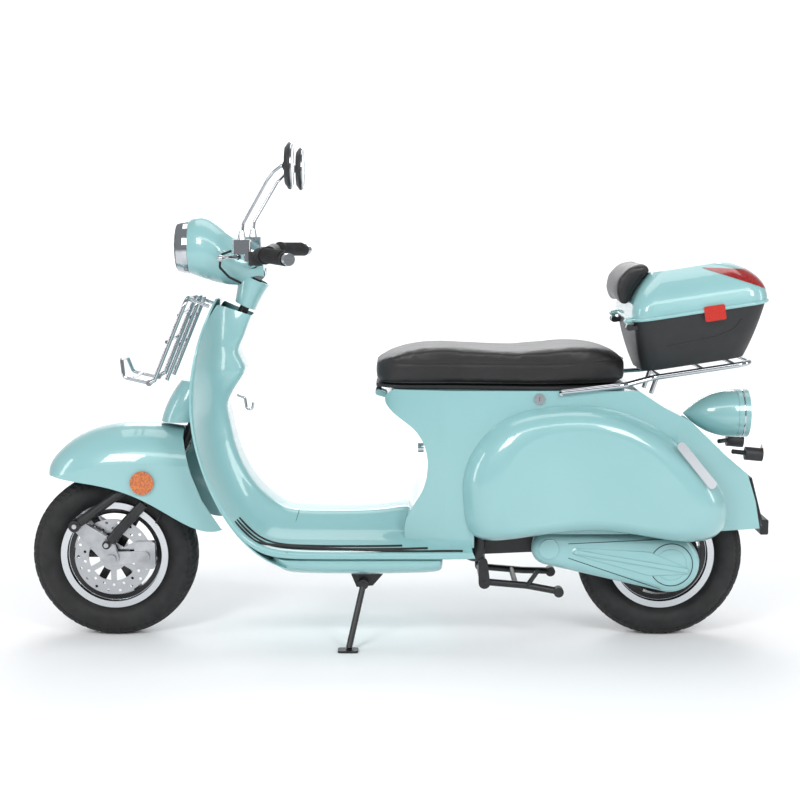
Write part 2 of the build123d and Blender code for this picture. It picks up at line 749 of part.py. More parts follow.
# Horn cover: a hollow painted nose in front of the steering head.
horn_stations = ((0.0, 34.0, 60.0), (50.0, 36.0, 62.0), (106.0, 22.0, 44.0))
horn_place = (-572.0, 570.0)


def horn_block(shrink):
    with BuildPart() as block:
        for rise, depth, half_width in horn_stations:
            middle = horn_place[0] + 0.4 * rise
            with BuildSketch(Plane.XY.offset(horn_place[1] + rise + (rise > 0) * -shrink - (rise == 0) * shrink)):
                with Locations((middle, 0)):
                    Ellipse(depth + 16.0 - shrink, half_width - shrink)
        loft()
    return block.part


with BuildPart() as horn_cover:
    add(horn_block(0.0))
    add(horn_block(sheet), mode=Mode.SUBTRACT)
    with BuildSketch(left_plane(200.0)):
        with BuildLine():
            Spline(*[(x - 1.0, z) for x, z in shield_curve])
            Line((shield_curve[0][0] - 1.0, shield_curve[0][1]), (-100.0, 890.0))
            Line((-100.0, 890.0), (-100.0, 217.0))
            Line((-100.0, 217.0), (shield_curve[-1][0] - 1.0, shield_curve[-1][1]))
        make_face()
    extrude(amount=400.0, mode=Mode.SUBTRACT)
    with BuildSketch(steering.offset(-head_tube_start - head_tube_length - 120.0)):
        Circle(head_tube_radius + 3.0)
    extrude(amount=head_tube_length, mode=Mode.SUBTRACT)
horn_cover.part.label = "horn_cover"
export_step(horn_cover.part, "parts/horn_cover.step")

# ---------------------------------------------------------------- floor
floor_front = -298.0
tunnel_rear = 9.0


def floor_outline(shrink, drop):
    low = floor_height - 22.0 - drop
    with BuildLine() as outline:
        for side in (-1, 1):
            crown_edge = (side * (60.0 - shrink), tunnel_height - shrink)
            board_edge = (side * (104.0 - shrink), floor_height - shrink)
            bend = (side * (80.0 - shrink), floor_height - shrink + 24.0)
            rim = (side * (floor_half_width - shrink), floor_height - shrink)
            Line((0, tunnel_height + 3.0 - shrink), crown_edge)
            ThreePointArc(crown_edge, bend, board_edge)
            Line(board_edge, rim)
            Line(rim, (side * (floor_half_width - shrink), low))
        Line((-floor_half_width + shrink, low), (floor_half_width - shrink, low))
    make_face(outline.edges())


with BuildPart() as floor_panel:
    with BuildSketch(Plane.YZ.offset(floor_front)):
        floor_outline(0.0, 0.0)
    extrude(amount=floor_rear - floor_front)
    with BuildSketch(Plane.YZ.offset(floor_front - 5.0)):
        floor_outline(plastic, 5.0)
    extrude(amount=floor_rear - floor_front + 10.0, mode=Mode.SUBTRACT)
    with BuildSketch(left_plane(floor_half_width + 5.0)):
        with Locations(((tunnel_rear + floor_rear) / 2 + 20.0, floor_height + 60.0)):
            Rectangle(floor_rear - tunnel_rear + 40.0, 120.0)
    extrude(amount=2 * floor_half_width + 10.0, mode=Mode.SUBTRACT)
floor_panel.part.label = "floor_panel"
export_step(floor_panel.part, "parts/floor_panel.step")

strip_width = 11.0
strip_height = 3.5
with BuildPart() as floor_strips:
    for row, rear in enumerate((12.0, 90.0, 170.0)):
        for side in (-1, 1):
            y = side * (120.0 + 24.0 * row)
            with BuildSketch(Plane.XY.offset(floor_height + (0.0 if rear < tunnel_rear else 0.05))):
                with Locations(((floor_front + 4.0 + rear) / 2, y)):
                    SlotOverall(rear - floor_front - 4.0, strip_width)
            extrude(amount=strip_height)
floor_strips.part.label = "floor_strips"
export_step(floor_strips.part, "parts/floor_strips.step")

belly_front = -283.0
belly_rear = 112.0
belly_wide = floor_half_width - 8.0
with BuildPart() as belly_pan:
    with BuildSketch(Plane.YZ.offset(belly_front)):
        with BuildLine():
            Polyline((-belly_wide, floor_height - 24.0), (-150.0, belly_height + 9.0), (-116.0, belly_height),
                     (116.0, belly_height), (150.0, belly_height + 9.0), (belly_wide, floor_height - 24.0),
                     (belly_wide - plastic, floor_height - 24.0), (149.0, belly_height + 14.0),
                     (114.0, belly_height + plastic), (-114.0, belly_height + plastic),
                     (-149.0, belly_height + 14.0), (plastic - belly_wide, floor_height - 24.0), close=True)
        make_face()
    extrude(amount=belly_rear - belly_front)
belly_pan.part.label = "belly_pan"
export_step(belly_pan.part, "parts/belly_pan.step")

# ---------------------------------------------------------------- rear body
# The side outline starts under the seat nose and runs down the front, back below and up the tail.
nose_curve = ((-16.0, 664.0), (-38.0, 632.0), (-8.0, 596.0), (36.0, 562.0), (66.0, 508.0), (69.0, 455.0),
              (56.0, 404.0), (26.0, 354.0), (12.0, 300.0))
tail_curve = ((928.0, 302.0), (916.0, 368.0), (892.0, 442.0), (830.0, 494.0), (734.0, 586.0), (664.0, 622.0),
              (600.0, 664.0))
body_foot = 298.0
deck = floor_height + 6.0


def body_block(shrink):
    """Side outline and plan outline, crossed; the cutter is smaller by the wall and open below."""
    low = 60.0 if shrink else 0.0
    with BuildPart() as block:
        with BuildSketch(left_plane(300.0)):
            with BuildLine():
                nose = [(x + shrink, z) for x, z in nose_curve]
                tail = [(x - shrink, z - 0.8 * shrink) for x, z in tail_curve]
                Polyline(*tail)
                Spline((nose[0][0], body_top - shrink), *nose[1:])
                Line((nose[0][0], body_top - shrink), tail[-1])
                Polyline(nose[-1], (nose[-1][0], deck - low), (floor_rear + 1.0 + shrink, deck - low),
                         (floor_rear + 1.0 + shrink, body_foot - low), (tail[0][0], body_foot - low), tail[0])
            make_face()
        extrude(amount=600.0)
        with BuildSketch(Plane.XY):
            with BuildLine():
                half = body_half_width - shrink
                Spline((-48.0 + shrink, 62.0 - shrink), (-12.0, 112.0 - shrink), (90.0, half - 12.0), (220.0, half),
                       tangents=((0.2, 1.0), (1.0, 0.0)))
                Spline((-48.0 + shrink, shrink - 62.0), (-12.0, shrink - 112.0), (90.0, 12.0 - half), (220.0, -half),
                       tangents=((0.2, -1.0), (1.0, 0.0)))
                Line((-48.0 + shrink, 62.0 - shrink), (-48.0 + shrink, shrink - 62.0))
                Polyline((220.0, half), (700.0, half), (940.0, 78.0 - shrink), (940.0, shrink - 78.0),
                         (700.0, -half), (220.0, -half))
            make_face()
        extrude(amount=800.0, mode=Mode.INTERSECT)
    return block.part


seat_hinge = (-56.0, 646.0)
with BuildPart() as rear_body:
    add(body_block(0.0))
    add(body_block(sheet), mode=Mode.SUBTRACT)
    with BuildSketch(Plane.XY.offset(body_top - 10.0)):
        with Locations((300.0, 0)):
            RectangleRounded(500, 190, 30)
    extrude(amount=20.0, mode=Mode.SUBTRACT)
    for side in (-1, 1):
        with BuildSketch(left_plane(side * 26.0)):
            with Locations(seat_hinge):
                Circle(8.0)
            with Locations((-28.0, 636.0)):
                Circle(6.0)
            make_hull()
        extrude(amount=3.0, both=True)
    add(body_block(sheet), mode=Mode.SUBTRACT)
    add(cross_rod(*seat_hinge, -29.0, 29.0, 4.0))
rear_body.part.label = "rear_body"
export_step(rear_body.part, "parts/rear_body.step")

cowl_outline = ((160.0, 400.0), (182.0, 506.0), (262.0, 590.0), (400.0, 626.0), (520.0, 620.0), (650.0, 568.0),
                (760.0, 478.0), (826.0, 372.0), (820.0, 316.0), (600.0, 296.0), (320.0, 290.0), (182.0, 300.0))
cowl_centre = (480.0, 440.0)
cowl_crown = 0.7


def cowl_ring(scale):
    return [tuple(c + (p - c) * scale for p, c in zip(point, cowl_centre)) for point in cowl_outline]


def cowl_block(shrink, inward):
    with BuildPart() as block:
        for y, scale in ((-body_half_width - 0.5 + inward, 1.0), (-body_half_width - 42.0, 0.9), (-cowl_half_width, cowl_crown)):
            tight = scale - shrink / 200.0
            with BuildSketch(left_plane(y + shrink if scale < 1.0 else y)):
                with BuildLine():
                    Spline(*cowl_ring(tight), periodic=True)
                make_face()
        loft()
    return block.part


for name, side in (("cowl_left", -1), ("cowl_right", 1)):
    with BuildPart() as cowl:
        add(cowl_block(0.0, 0.0))
        add(cowl_block(sheet, 2.0), mode=Mode.SUBTRACT)
    shell = cowl.part if side < 0 else mirror(cowl.part, about=Plane.XZ)
    shell.label = name
    export_step(shell, f"parts/{name}.step")

# ---------------------------------------------------------------- inside the body
with BuildPart() as battery_and_controller:
    with BuildSketch(Plane.XY.offset(320.0)):
        with Locations((330.0, 0)):
            RectangleRounded(180, 180, 10)
    extrude(amount=230.0)
    with BuildSketch(Plane.XY.offset(320.0)):
        with Locations((160.0, 0)):
            Rectangle(70, 120)
    extrude(amount=170.0)
    with BuildSketch(Plane(origin=(125.0, 0, 405.0), z_dir=(-1, 0, 0))):
        with GridLocations(14, 0, 8, 1):
            Rectangle(4, 150)
    extrude(amount=14.0)
battery_and_controller.part.label = "battery_and_controller"
export_step(battery_and_controller.part, "parts/battery_and_controller.step")

# ---------------------------------------------------------------- rear suspension
arm_inside = 62.0
arm_outside = 82.0
rear_shock_foot = (rear_axle_x - 92.0, axle_z + 26.0)
rear_shock_top = (rear_axle_x - 112.0, axle_z + 300.0)
with BuildPart() as swingarm:
    add(cross_rod(*swing_pivot, -bush_half, bush_half, 18.0))
    with BuildSketch(left_plane(-arm_outside)):
        with Locations((swing_pivot[0] + 36.0, swing_pivot[1] - 4.0)):
            Rectangle(22, 34)
    extrude(amount=-2 * arm_outside)
    with BuildSketch(left_plane(-bush_half)):
        with Locations((swing_pivot[0] + 20.0, swing_pivot[1] - 2.0)):
            Rectangle(24, 28)
    extrude(amount=-2 * bush_half)
    for side in (-1, 1):
        with BuildSketch(left_plane(side * (arm_inside + arm_outside) / 2)):
            with Locations((swing_pivot[0] + 40.0, swing_pivot[1] - 4.0)):
                Circle(15.0)
            with Locations((rear_axle_x, axle_z)):
                Circle(26.0)
            make_hull()
        extrude(amount=(arm_outside - arm_inside) / 2, both=True)
        add(cross_rod(rear_axle_x, axle_z, side * (motor_half_width + 1.0), side * arm_inside, 16.0))
        add(cross_rod(*rear_shock_foot, side * arm_inside, side * 126.0, 7.0))
        if side > 0:
            add(cross_rod(rear_axle_x, axle_z, arm_outside, arm_outside + 12.0, 15.0))
    add(cross_rod(rear_axle_x, axle_z, -arm_outside, arm_outside, axle_radius))
    add(cross_rod(*swing_pivot, -bush_half - 1.0, bush_half + 1.0, pivot_bolt_radius + running_clearance),
        mode=Mode.SUBTRACT)
swingarm.part.label = "swingarm"
export_step(swingarm.part, "parts/swingarm.step")

cover_depth = 38.0


def cover_outline(shrink):
    with Locations((swing_pivot[0] + 4.0, swing_pivot[1])):
        Circle(42.0 - shrink)
    with Locations((rear_axle_x + 10.0, axle_z)):
        Circle(78.0 - shrink)
    make_hull()


with BuildPart() as swingarm_cover:
    with BuildSketch(left_plane(-arm_outside - 1.5)):
        cover_outline(0.0)
    extrude(amount=cover_depth - 12.0)
    with BuildSketch(left_plane(-arm_outside - 1.5 - cover_depth + 12.0)):
        cover_outline(0.0)
    with BuildSketch(left_plane(-arm_outside - 1.5 - cover_depth)):
        cover_outline(12.0)
    loft()
    with BuildSketch(left_plane(-arm_outside)):
        cover_outline(sheet)
    extrude(amount=cover_depth - 12.0, mode=Mode.SUBTRACT)
    add(cross_rod(*rear_shock_foot, -127.5, -60.0, 9.0), mode=Mode.SUBTRACT)
swingarm_cover.part.label = "swingarm_cover"
export_step(swingarm_cover.part, "parts/swingarm_cover.step")

with BuildPart() as rear_shocks:
    add(shock(rear_shock_top, rear_shock_foot, 100.0, 12.0, 14.0, 20.0))
    for x, z in (rear_shock_top, rear_shock_foot):
        add(cross_rod(x, z, 80.0, 120.0, 7.0 + gap), mode=Mode.SUBTRACT)
rear_shocks.part.label = "rear_shock"
export_step(rear_shocks.part, "parts/rear_shock.step")

# Inner mudguard over the tyre, and the plate bracket behind the tail.
mudguard_radius = tyre_radius + 27.0
plate_top = (904.0, 428.0)
plate_foot = (938.0, 300.0)
with BuildPart() as rear_mudguard:
    with BuildSketch(left_plane(72.0, rear_axle_x, axle_z)):
        Circle(mudguard_radius + sheet)
        Circle(mudguard_radius, mode=Mode.SUBTRACT)
        with Locations((0, -170.0)):
            Rectangle(600, 520, mode=Mode.SUBTRACT)
        with Locations((-260.0, 100.0)):
            Rectangle(120, 60, mode=Mode.SUBTRACT)
    extrude(amount=144.0)
    with BuildSketch(left_plane(70.0)):
        with BuildLine():
            Polyline(plate_top, plate_foot, (plate_foot[0] + 4.0, plate_foot[1] + 1.0),
                     (plate_top[0] + 4.0, plate_top[1] + 1.0), close=True)
        make_face()
    extrude(amount=140.0)
    with BuildSketch(left_plane(38.0)):
        with Locations((plate_foot[0] + 13.0, plate_foot[1] - 8.0)):
            RectangleRounded(22, 40, 4)
    extrude(amount=76.0)
rear_mudguard.part.label = "rear_mudguard"
export_step(rear_mudguard.part, "parts/rear_mudguard.step")

# ---------------------------------------------------------------- tail lamp and indicators
tail_height = 588.0
tail_rim_x = 874.0
tail_radius = 62.0
with BuildPart() as tail_lamp_housing:
    with BuildSketch(Plane.XZ):
        with BuildLine():
            Line((738.0, tail_height), (tail_rim_x, tail_height))
            Line((tail_rim_x, tail_height), (tail_rim_x, tail_height + tail_radius))
            Spline((tail_rim_x, tail_height + tail_radius), (806.0, tail_height + 50.0), (738.0, tail_height))
        make_face()
    revolve(axis=Axis((0, 0, tail_height), (1, 0, 0)))
    with BuildSketch(left_plane(120.0)):
        with BuildLine():
            Polyline(*[(x + 1.0, z + 1.5) for x, z in tail_curve], (500.0, 664.0), (500.0, 298.0), close=True)
        make_face()
    extrude(amount=240.0, mode=Mode.SUBTRACT)
    with BuildSketch(Plane(origin=(tail_rim_x + 0.1, 0, tail_height), z_dir=(1, 0, 0))):
        Circle(tail_radius + 1.0)
        Circle(tail_radius - 6.0, mode=Mode.SUBTRACT)
    extrude(amount=30.0)
tail_lamp_housing.part.label = "tail_lamp_housing"
export_step(tail_lamp_housing.part, "parts/tail_lamp_housing.step")

with BuildPart() as tail_lamp_lens:
    with BuildSketch(Plane(origin=(tail_rim_x + 6.0, 0, tail_height), z_dir=(1, 0, 0))):
        Circle(tail_radius - 6.0 - gap)
    extrude(amount=18.0)
    with BuildSketch(Plane(origin=(tail_rim_x + 24.0, 0, tail_height), z_dir=(1, 0, 0))):
        Circle(tail_radius - 6.0 - gap)
    extrude(amount=10.0, taper=50)
tail_lamp_lens.part.label = "tail_lamp_lens"
export_step(tail_lamp_lens.part, "parts/tail_lamp_lens.step")

with BuildPart() as rear_indicators:
    for side in (-1, 1):
        add(rod((878.0, side * 112.0, 500.0), (922.0, side * 112.0, 496.0), 17.0))
        add(rod((852.0, side * 84.0, 500.0), (888.0, side * 112.0, 500.0), 6.0))
    with BuildSketch(left_plane(130.0)):
        with BuildLine():
            Polyline(*[(x + 1.0, z + 1.5) for x, z in tail_curve], (500.0, 664.0), (500.0, 298.0), close=True)
        make_face()
    extrude(amount=260.0, mode=Mode.SUBTRACT)
rear_indicators.part.label = "rear_indicators"
export_step(rear_indicators.part, "parts/rear_indicators.step")

# ---------------------------------------------------------------- seat
seat_rear = seat_front + seat_length
pan_inset = 9.0


def seat_plan(inset):
    """Narrow rounded nose, widest under the passenger, rounded tail."""
    sides = ((0.0, 62.0), (36.0, 104.0), (150.0, 120.0), (400.0, seat_half_width), (560.0, seat_half_width - 14.0),
             (seat_length, 74.0))
    with BuildLine() as outline:
        for side in (-1, 1):
            Spline(*[(seat_front + inset + x * (1 - 2 * inset / seat_length), side * (y - inset)) for x, y in sides])
        Line((seat_front + inset, 62.0 - inset), (seat_front + inset, inset - 62.0))
        Line((seat_rear - inset, 74.0 - inset), (seat_rear - inset, inset - 74.0))
    make_face(outline.edges())


with BuildPart() as seat_cushion:
    with BuildSketch(left_plane(200.0)):
        with BuildLine():
            Line((seat_front, seat_bottom), (seat_rear, seat_bottom + 8.0))
            Line((seat_rear, seat_bottom + 8.0), (seat_rear, seat_bottom + 62.0))
            Spline((seat_rear, seat_bottom + 62.0), (seat_rear - 50.0, seat_top - 4.0), (300.0, seat_top - 3.0),
                   (30.0, seat_top), (seat_front, seat_bottom + 58.0))
            Line((seat_front, seat_bottom + 58.0), (seat_front, seat_bottom))
        make_face()
    extrude(amount=400.0)
    with BuildSketch(Plane.XY.offset(600.0)):
        seat_plan(0.0)
    extrude(amount=200.0, mode=Mode.INTERSECT)
seat_cushion.part.label = "seat_cushion"
export_step(seat_cushion.part, "parts/seat_cushion.step")

with BuildPart() as seat_pan:
    with BuildSketch(Plane.XY.offset(body_top + 2.0)):
        seat_plan(pan_inset)
    extrude(amount=seat_bottom - body_top - 2.5)
    with BuildSketch(left_plane(0.0)):
        with Locations(seat_hinge):
            Circle(8.0)
        with Locations((seat_front + 18.0, body_top + 6.0)):
            Circle(3.5)
        make_hull()
    extrude(amount=21.5, both=True)
    add(cross_rod(*seat_hinge, -30.0, 30.0, 4.0 + running_clearance), mode=Mode.SUBTRACT)
seat_pan.part.label = "seat_pan"
export_step(seat_pan.part, "parts/seat_pan.step")

# ---------------------------------------------------------------- chrome fittings
# Slotted cowl trims, seat lock, charge cap and bag hook.
trim_start = (700.0, 532.0)
trim_end = (778.0, 436.0)
trim_span = hypot(trim_end[0] - trim_start[0], trim_end[1] - trim_start[1])
trim_turn = degrees(atan2(trim_end[1] - trim_start[1], trim_end[0] - trim_start[0]))
with BuildPart() as chrome_fittings:
    with BuildSketch(left_plane(12.0 - cowl_half_width)):
        with Locations(((trim_start[0] + trim_end[0]) / 2, (trim_start[1] + trim_end[1]) / 2)):
            SlotCenterToCenter(trim_span, 22.0, rotation=trim_turn)
    extrude(amount=5.0)
    mirror(about=Plane.XZ)
    with BuildSketch(left_plane(-body_half_width - 0.1, 350.0, 644.0)):
        Circle(14.0)
        Rectangle(3, 10, mode=Mode.SUBTRACT)
    extrude(amount=5.0)
    add(rod((61.0, -72.0, 508.0), (46.0, -72.0, 508.0), 12.0))
    add(bent_tube([(-425.0, 0.0, 636.0), (-404.0, 0.0, 628.0), (-400.0, 0.0, 600.0), (-386.0, 0.0, 596.0),
                   (-382.0, 0.0, 616.0)], 3.5, 7.0))
chrome_fittings.part.label = "chrome_fittings"
export_step(chrome_fittings.part, "parts/chrome_fittings.step")

# ---------------------------------------------------------------- front rack
rack_hinge = (-640.0, 676.0)
upright_half = 92.0
with BuildPart() as front_rack:
    for x_shift, half in ((0.0, upright_half), (28.0, upright_half - 30.0)):
        top = (-538.0 + x_shift, 0, 894.0)
        foot = (rack_hinge[0] + 14.0 + x_shift, 0, rack_hinge[1] + 6.0)
        add(bent_tube([(foot[0], -half, foot[2]), (top[0], -half, top[2]), (top[0], half, top[2]),
                       (foot[0], half, foot[2])], 5.5, 26.0))
    for x, z in ((-592.0, 782.0), (-560.0, 850.0)):
        add(cross_rod(x, z, -upright_half, upright_half, 4.5))
    add(cross_rod(*rack_hinge, -upright_half - 8.0, -upright_half + 8.0, 5.0))
    add(cross_rod(*rack_hinge, upright_half - 8.0, upright_half + 8.0, 5.0))
    for side in (-1, 1):
        add(rod((rack_hinge[0] + 14.0, side * upright_half, rack_hinge[1] + 8.0),
                (rack_hinge[0], side * upright_half, rack_hinge[1]), 5.5))
        add(rod((-540.0, side * 62.0, 890.0), (-486.0, side * 62.0, 870.0), 5.0))
front_rack.part.label = "front_rack"
export_step(front_rack.part, "parts/front_rack.step")

tray_half = upright_half - 22.0
with BuildPart() as rack_tray:
    add(bent_tube([(rack_hinge[0] - 6.0, -tray_half, rack_hinge[1]), (-706.0, -tray_half, 690.0),
                   (-716.0, -tray_half + 30.0, 732.0), (-716.0, tray_half - 30.0, 732.0),
                   (-706.0, tray_half, 690.0), (rack_hinge[0] - 6.0, tray_half, rack_hinge[1])], 5.0, 12.0))
    add(cross_rod(-682.0, 686.0, -tray_half, tray_half, 4.5))
    for side in (-1, 1):
        add(rod((rack_hinge[0] - 6.0, side * tray_half, rack_hinge[1]),
                (rack_hinge[0], side * (upright_half - 14.0), rack_hinge[1]), 5.0))
        add(rod((rack_hinge[0], side * (upright_half - 18.0), rack_hinge[1]),
                (rack_hinge[0], side * (upright_half - 8.5), rack_hinge[1]), 8.0))
rack_tray.part.label = "rack_tray"
export_step(rack_tray.part, "parts/rack_tray.step")

# ---------------------------------------------------------------- rear rack
rail_half = 158.0
carrier_half = 100.0
rise_per_mm = tan(radians(rack_slope))


rail_front = 404.0
carrier_front = seat_rear + 56.0
carrier_rear = carrier_front + 250.0
rail_foot_gap = 0.4


def rack_z(x):
    return 684.0 + (x - seat_rear - 6.0) * rise_per_mm


with BuildPart() as rear_rack:
    path = [(rail_front, rail_half, rack_z(rail_front) + 6.0), (seat_rear - 24.0, rail_half, rack_z(seat_rear - 24.0)),
            (carrier_front, carrier_half, rack_z(carrier_front)), (carrier_rear, carrier_half, rack_z(carrier_rear))]
    add(bent_tube([on_side(p, -1) for p in path] + path[::-1], rack_tube_radius, 30.0))
    for x in (carrier_front + 20.0, carrier_front + 130.0, carrier_front + 210.0):
        add(cross_rod(x, rack_z(x), -carrier_half, carrier_half, 6.0))
    for side in (-1, 1):
        add(rod((carrier_front + 4.0, side * 60.0, 647.0), (carrier_front + 20.0, side * 60.0, rack_z(carrier_front + 20.0)),
                6.0))
        add(rod((rail_front, side * rail_half, rack_z(rail_front) + 6.0),
                (rail_front, side * (body_half_width + 6.0 + rail_foot_gap), 655.0), 6.0))
rear_rack.part.label = "rear_rack"
export_step(rear_rack.part, "parts/rear_rack.step")

# ---------------------------------------------------------------- top case
case = Plane(origin=(seat_rear, 0.0, 838.0), x_dir=(cos(radians(rack_slope)), 0.0, sin(radians(rack_slope))),
             z_dir=(-sin(radians(rack_slope)), 0.0, cos(radians(rack_slope))))
case_hinge_local = (-14.0, -12.0)
case_foot_half = 112.0
case_rake = 12.0


def case_point(along, lateral, up):
    return tuple(case.from_local_coords(Vector(along, lateral, up)))


def case_block(shrink, above):
    with BuildPart() as block:
        for rise, start, length, half in ((0.0, 0.0, case_length + 12.0, case_half_width),
                                          (-60.0, 2.0, case_length - 14.0, case_half_width - 22.0),
                                          (-case_depth - 22.0, case_rake, case_length - 56.0, case_foot_half)):
            lift = above if rise == 0.0 else shrink if rise < -100.0 else 0.0
            with BuildSketch(case.offset(rise + lift)):
                with Locations((start + length / 2, 0)):
                    RectangleRounded(length - 2 * shrink, 2 * half - 2 * shrink, 46.0 - shrink)
        loft()
    return block.part


hinge_y = 138.0
lug_radius = 8.0
with BuildPart() as topcase_base:
    add(case_block(0.0, 0.0))
    for side in (-1, 1):
        for y in (hinge_y - 19.0, hinge_y + 12.0):
            start = case_point(case_hinge_local[0], side * y, case_hinge_local[1])
            end = case_point(case_hinge_local[0], side * (y + 7.0), case_hinge_local[1])
            add(rod(start, end, lug_radius))
            with BuildSketch(Plane(origin=start, x_dir=case.x_dir, z_dir=(0, side, 0))):
                with Locations((9.0, side * 3.0)):
                    Rectangle(22, 10)
            extrude(amount=7.0)
    add(case_block(sheet, 1.0), mode=Mode.SUBTRACT)
    for side in (-1, 1):
        add(rod(case_point(case_hinge_local[0], side * (hinge_y - 19.0), case_hinge_local[1]),
                case_point(case_hinge_local[0], side * (hinge_y + 19.0), case_hinge_local[1]), 3.0))
topcase_base.part.label = "topcase_base"
export_step(topcase_base.part, "parts/topcase_base.step")

lid_height = 112.0


def lid_block(shrink, below):
    with BuildPart() as block:
        for rise, start, length, half, corner in ((1.0, -2.0, case_length + 18.0, case_half_width + 3.0, 48.0),
                                                  (24.0, -2.0, case_length + 20.0, case_half_width + 3.0, 48.0),
                                                  (84.0, 34.0, case_length - 50.0, case_half_width - 32.0, 44.0),
                                                  (lid_height, 62.0, case_length - 130.0, case_half_width - 72.0, 40.0)):
            lift = -below if rise == 1.0 else -shrink if rise == lid_height else 0.0
            with BuildSketch(case.offset(rise + lift)):
                with Locations((start + length / 2, 0)):
                    RectangleRounded(length - 2 * shrink, 2 * half - 2 * shrink, corner - shrink)
        loft()
    return block.part


with BuildPart() as topcase_lid:
    add(lid_block(0.0, 0.0))
    for side in (-1, 1):
        start = case_point(case_hinge_local[0], side * (hinge_y - 11.0), case_hinge_local[1])
        end = case_point(case_hinge_local[0], side * (hinge_y + 11.0), case_hinge_local[1])
        add(rod(start, end, lug_radius - 1.0))
        with BuildSketch(Plane(origin=start, x_dir=case.x_dir, z_dir=(0, side, 0))):
            with Locations((0.0, -side * 9.0)):
                Rectangle(9, 18)
            with Locations((6.0, -side * 19.0)):
                Rectangle(22, 8)
        extrude(amount=22.0)
    add(lid_block(sheet, 5.0), mode=Mode.SUBTRACT)
    for side in (-1, 1):
        add(rod(case_point(case_hinge_local[0], side * 100.0, case_hinge_local[1]),
                case_point(case_hinge_local[0], side * 180.0, case_hinge_local[1]), 3.0 + running_clearance),
            mode=Mode.SUBTRACT)
topcase_lid.part.label = "topcase_lid"
export_step(topcase_lid.part, "parts/topcase_lid.step")

with BuildPart() as topcase_backrest:
    with BuildSketch(Plane(origin=case_point(0, 108.0, 0), x_dir=case.x_dir, z_dir=(0, -1, 0))):
        with BuildLine():
            Polyline((-20.0, 40.0), (-26.0, 74.0), (-16.0, 108.0), (14.0, 132.0), (66.0, 134.0), (68.0, lid_height + 1.5),
                     (50.0, lid_height + 1.0), (20.0, 78.0), (-4.5, 36.0), close=True)
        make_face()
    extrude(amount=216.0)
topcase_backrest.part.label = "topcase_backrest"
export_step(topcase_backrest.part, "parts/topcase_backrest.step")

latch_along = 194.0
for name, side in (("latch_left", -1), ("latch_right", 1)):
    with BuildPart() as latch:
        with BuildSketch(Plane(origin=case_point(latch_along, side * (case_half_width + 4.5), 0), x_dir=case.x_dir,
                               z_dir=(0, side, 0))):
            with Locations((0, side * 4.0)):
                RectangleRounded(52, 38, 5)
        extrude(amount=6.0)
    latch.part.label = name
    export_step(latch.part, f"parts/{name}.step")

# ---------------------------------------------------------------- stands
side_pivot = (-94.0, -112.0, 160.0)
side_foot = (-130.0, -176.0, 8.0)
centre_pivot = (218.0, 158.0)
stand_half = 84.0
with BuildPart() as stand_brackets:
    with BuildSketch(left_plane(side_pivot[1] + 17.5)):
        with BuildLine():
            Polyline((-126.0, belly_height - 0.2), (-44.0, belly_height - 0.2), (-70.0, 152.0), (-112.0, 148.0),
                     close=True)
        make_face()
    extrude(amount=6.0)
    add(cross_rod(side_pivot[0], side_pivot[2], side_pivot[1] - 14.0, side_pivot[1] + 13.0, 5.0))
    for side in (-1, 1):
        with BuildSketch(left_plane(side * (stand_half + 14.0))):
            with Locations(centre_pivot):
                Circle(15.0)
            with Locations((214.0, 212.0)):
                Circle(12.0)
            make_hull()
        extrude(amount=3.5, both=True)
    add(cross_rod(214.0, 212.0, -stand_half - 14.0, stand_half + 14.0, 8.0))
    add(cross_rod(*centre_pivot, -stand_half - 20.0, stand_half + 20.0, 6.0))
stand_brackets.part.label = "stand_brackets"
export_step(stand_brackets.part, "parts/stand_brackets.step")

with BuildPart() as side_stand:
    add(cross_rod(side_pivot[0], side_pivot[2], side_pivot[1] - 11.0, side_pivot[1] + 10.5, 13.0))
    add(rod(side_pivot, side_foot, 8.0))
    with BuildSketch(Plane.XY):
        with Locations((side_foot[0] - 2.0, side_foot[1] - 4.0)):
            RectangleRounded(52, 34, 8)
    extrude(amount=6.0)
    add(cross_rod(side_pivot[0], side_pivot[2], side_pivot[1] - 20.0, side_pivot[1] + 20.0, 5.0 + running_clearance),
        mode=Mode.SUBTRACT)
side_stand.part.label = "side_stand"
export_step(side_stand.part, "parts/side_stand.step")

with BuildPart() as centre_stand:
    add(cross_rod(*centre_pivot, -stand_half, stand_half, 12.0))
    for side in (-1, 1):
        add(bent_tube([(centre_pivot[0], side * stand_half, centre_pivot[1]),
                       (330.0, side * stand_half, 148.0), (404.0, side * (stand_half + 26.0), 140.0)], 9.0, 40.0))
        with Locations((408.0, side * (stand_half + 28.0), 139.0)):
            Cylinder(13.0, 24.0, rotation=(90, 0, 0))
    add(cross_rod(300.0, 151.0, -stand_half, stand_half, 7.0))
    add(rod((330.0, -stand_half, 148.0), (352.0, -stand_half - 44.0, 196.0), 6.0))
    add(cross_rod(*centre_pivot, -stand_half - 30.0, stand_half + 30.0, 6.0 + running_clearance), mode=Mode.SUBTRACT)
centre_stand.part.label = "centre_stand"
export_step(centre_stand.part, "parts/centre_stand.step")
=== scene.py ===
import json
import math

import bmesh
import bpy
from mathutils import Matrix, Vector
from mathutils.bvhtree import BVHTree

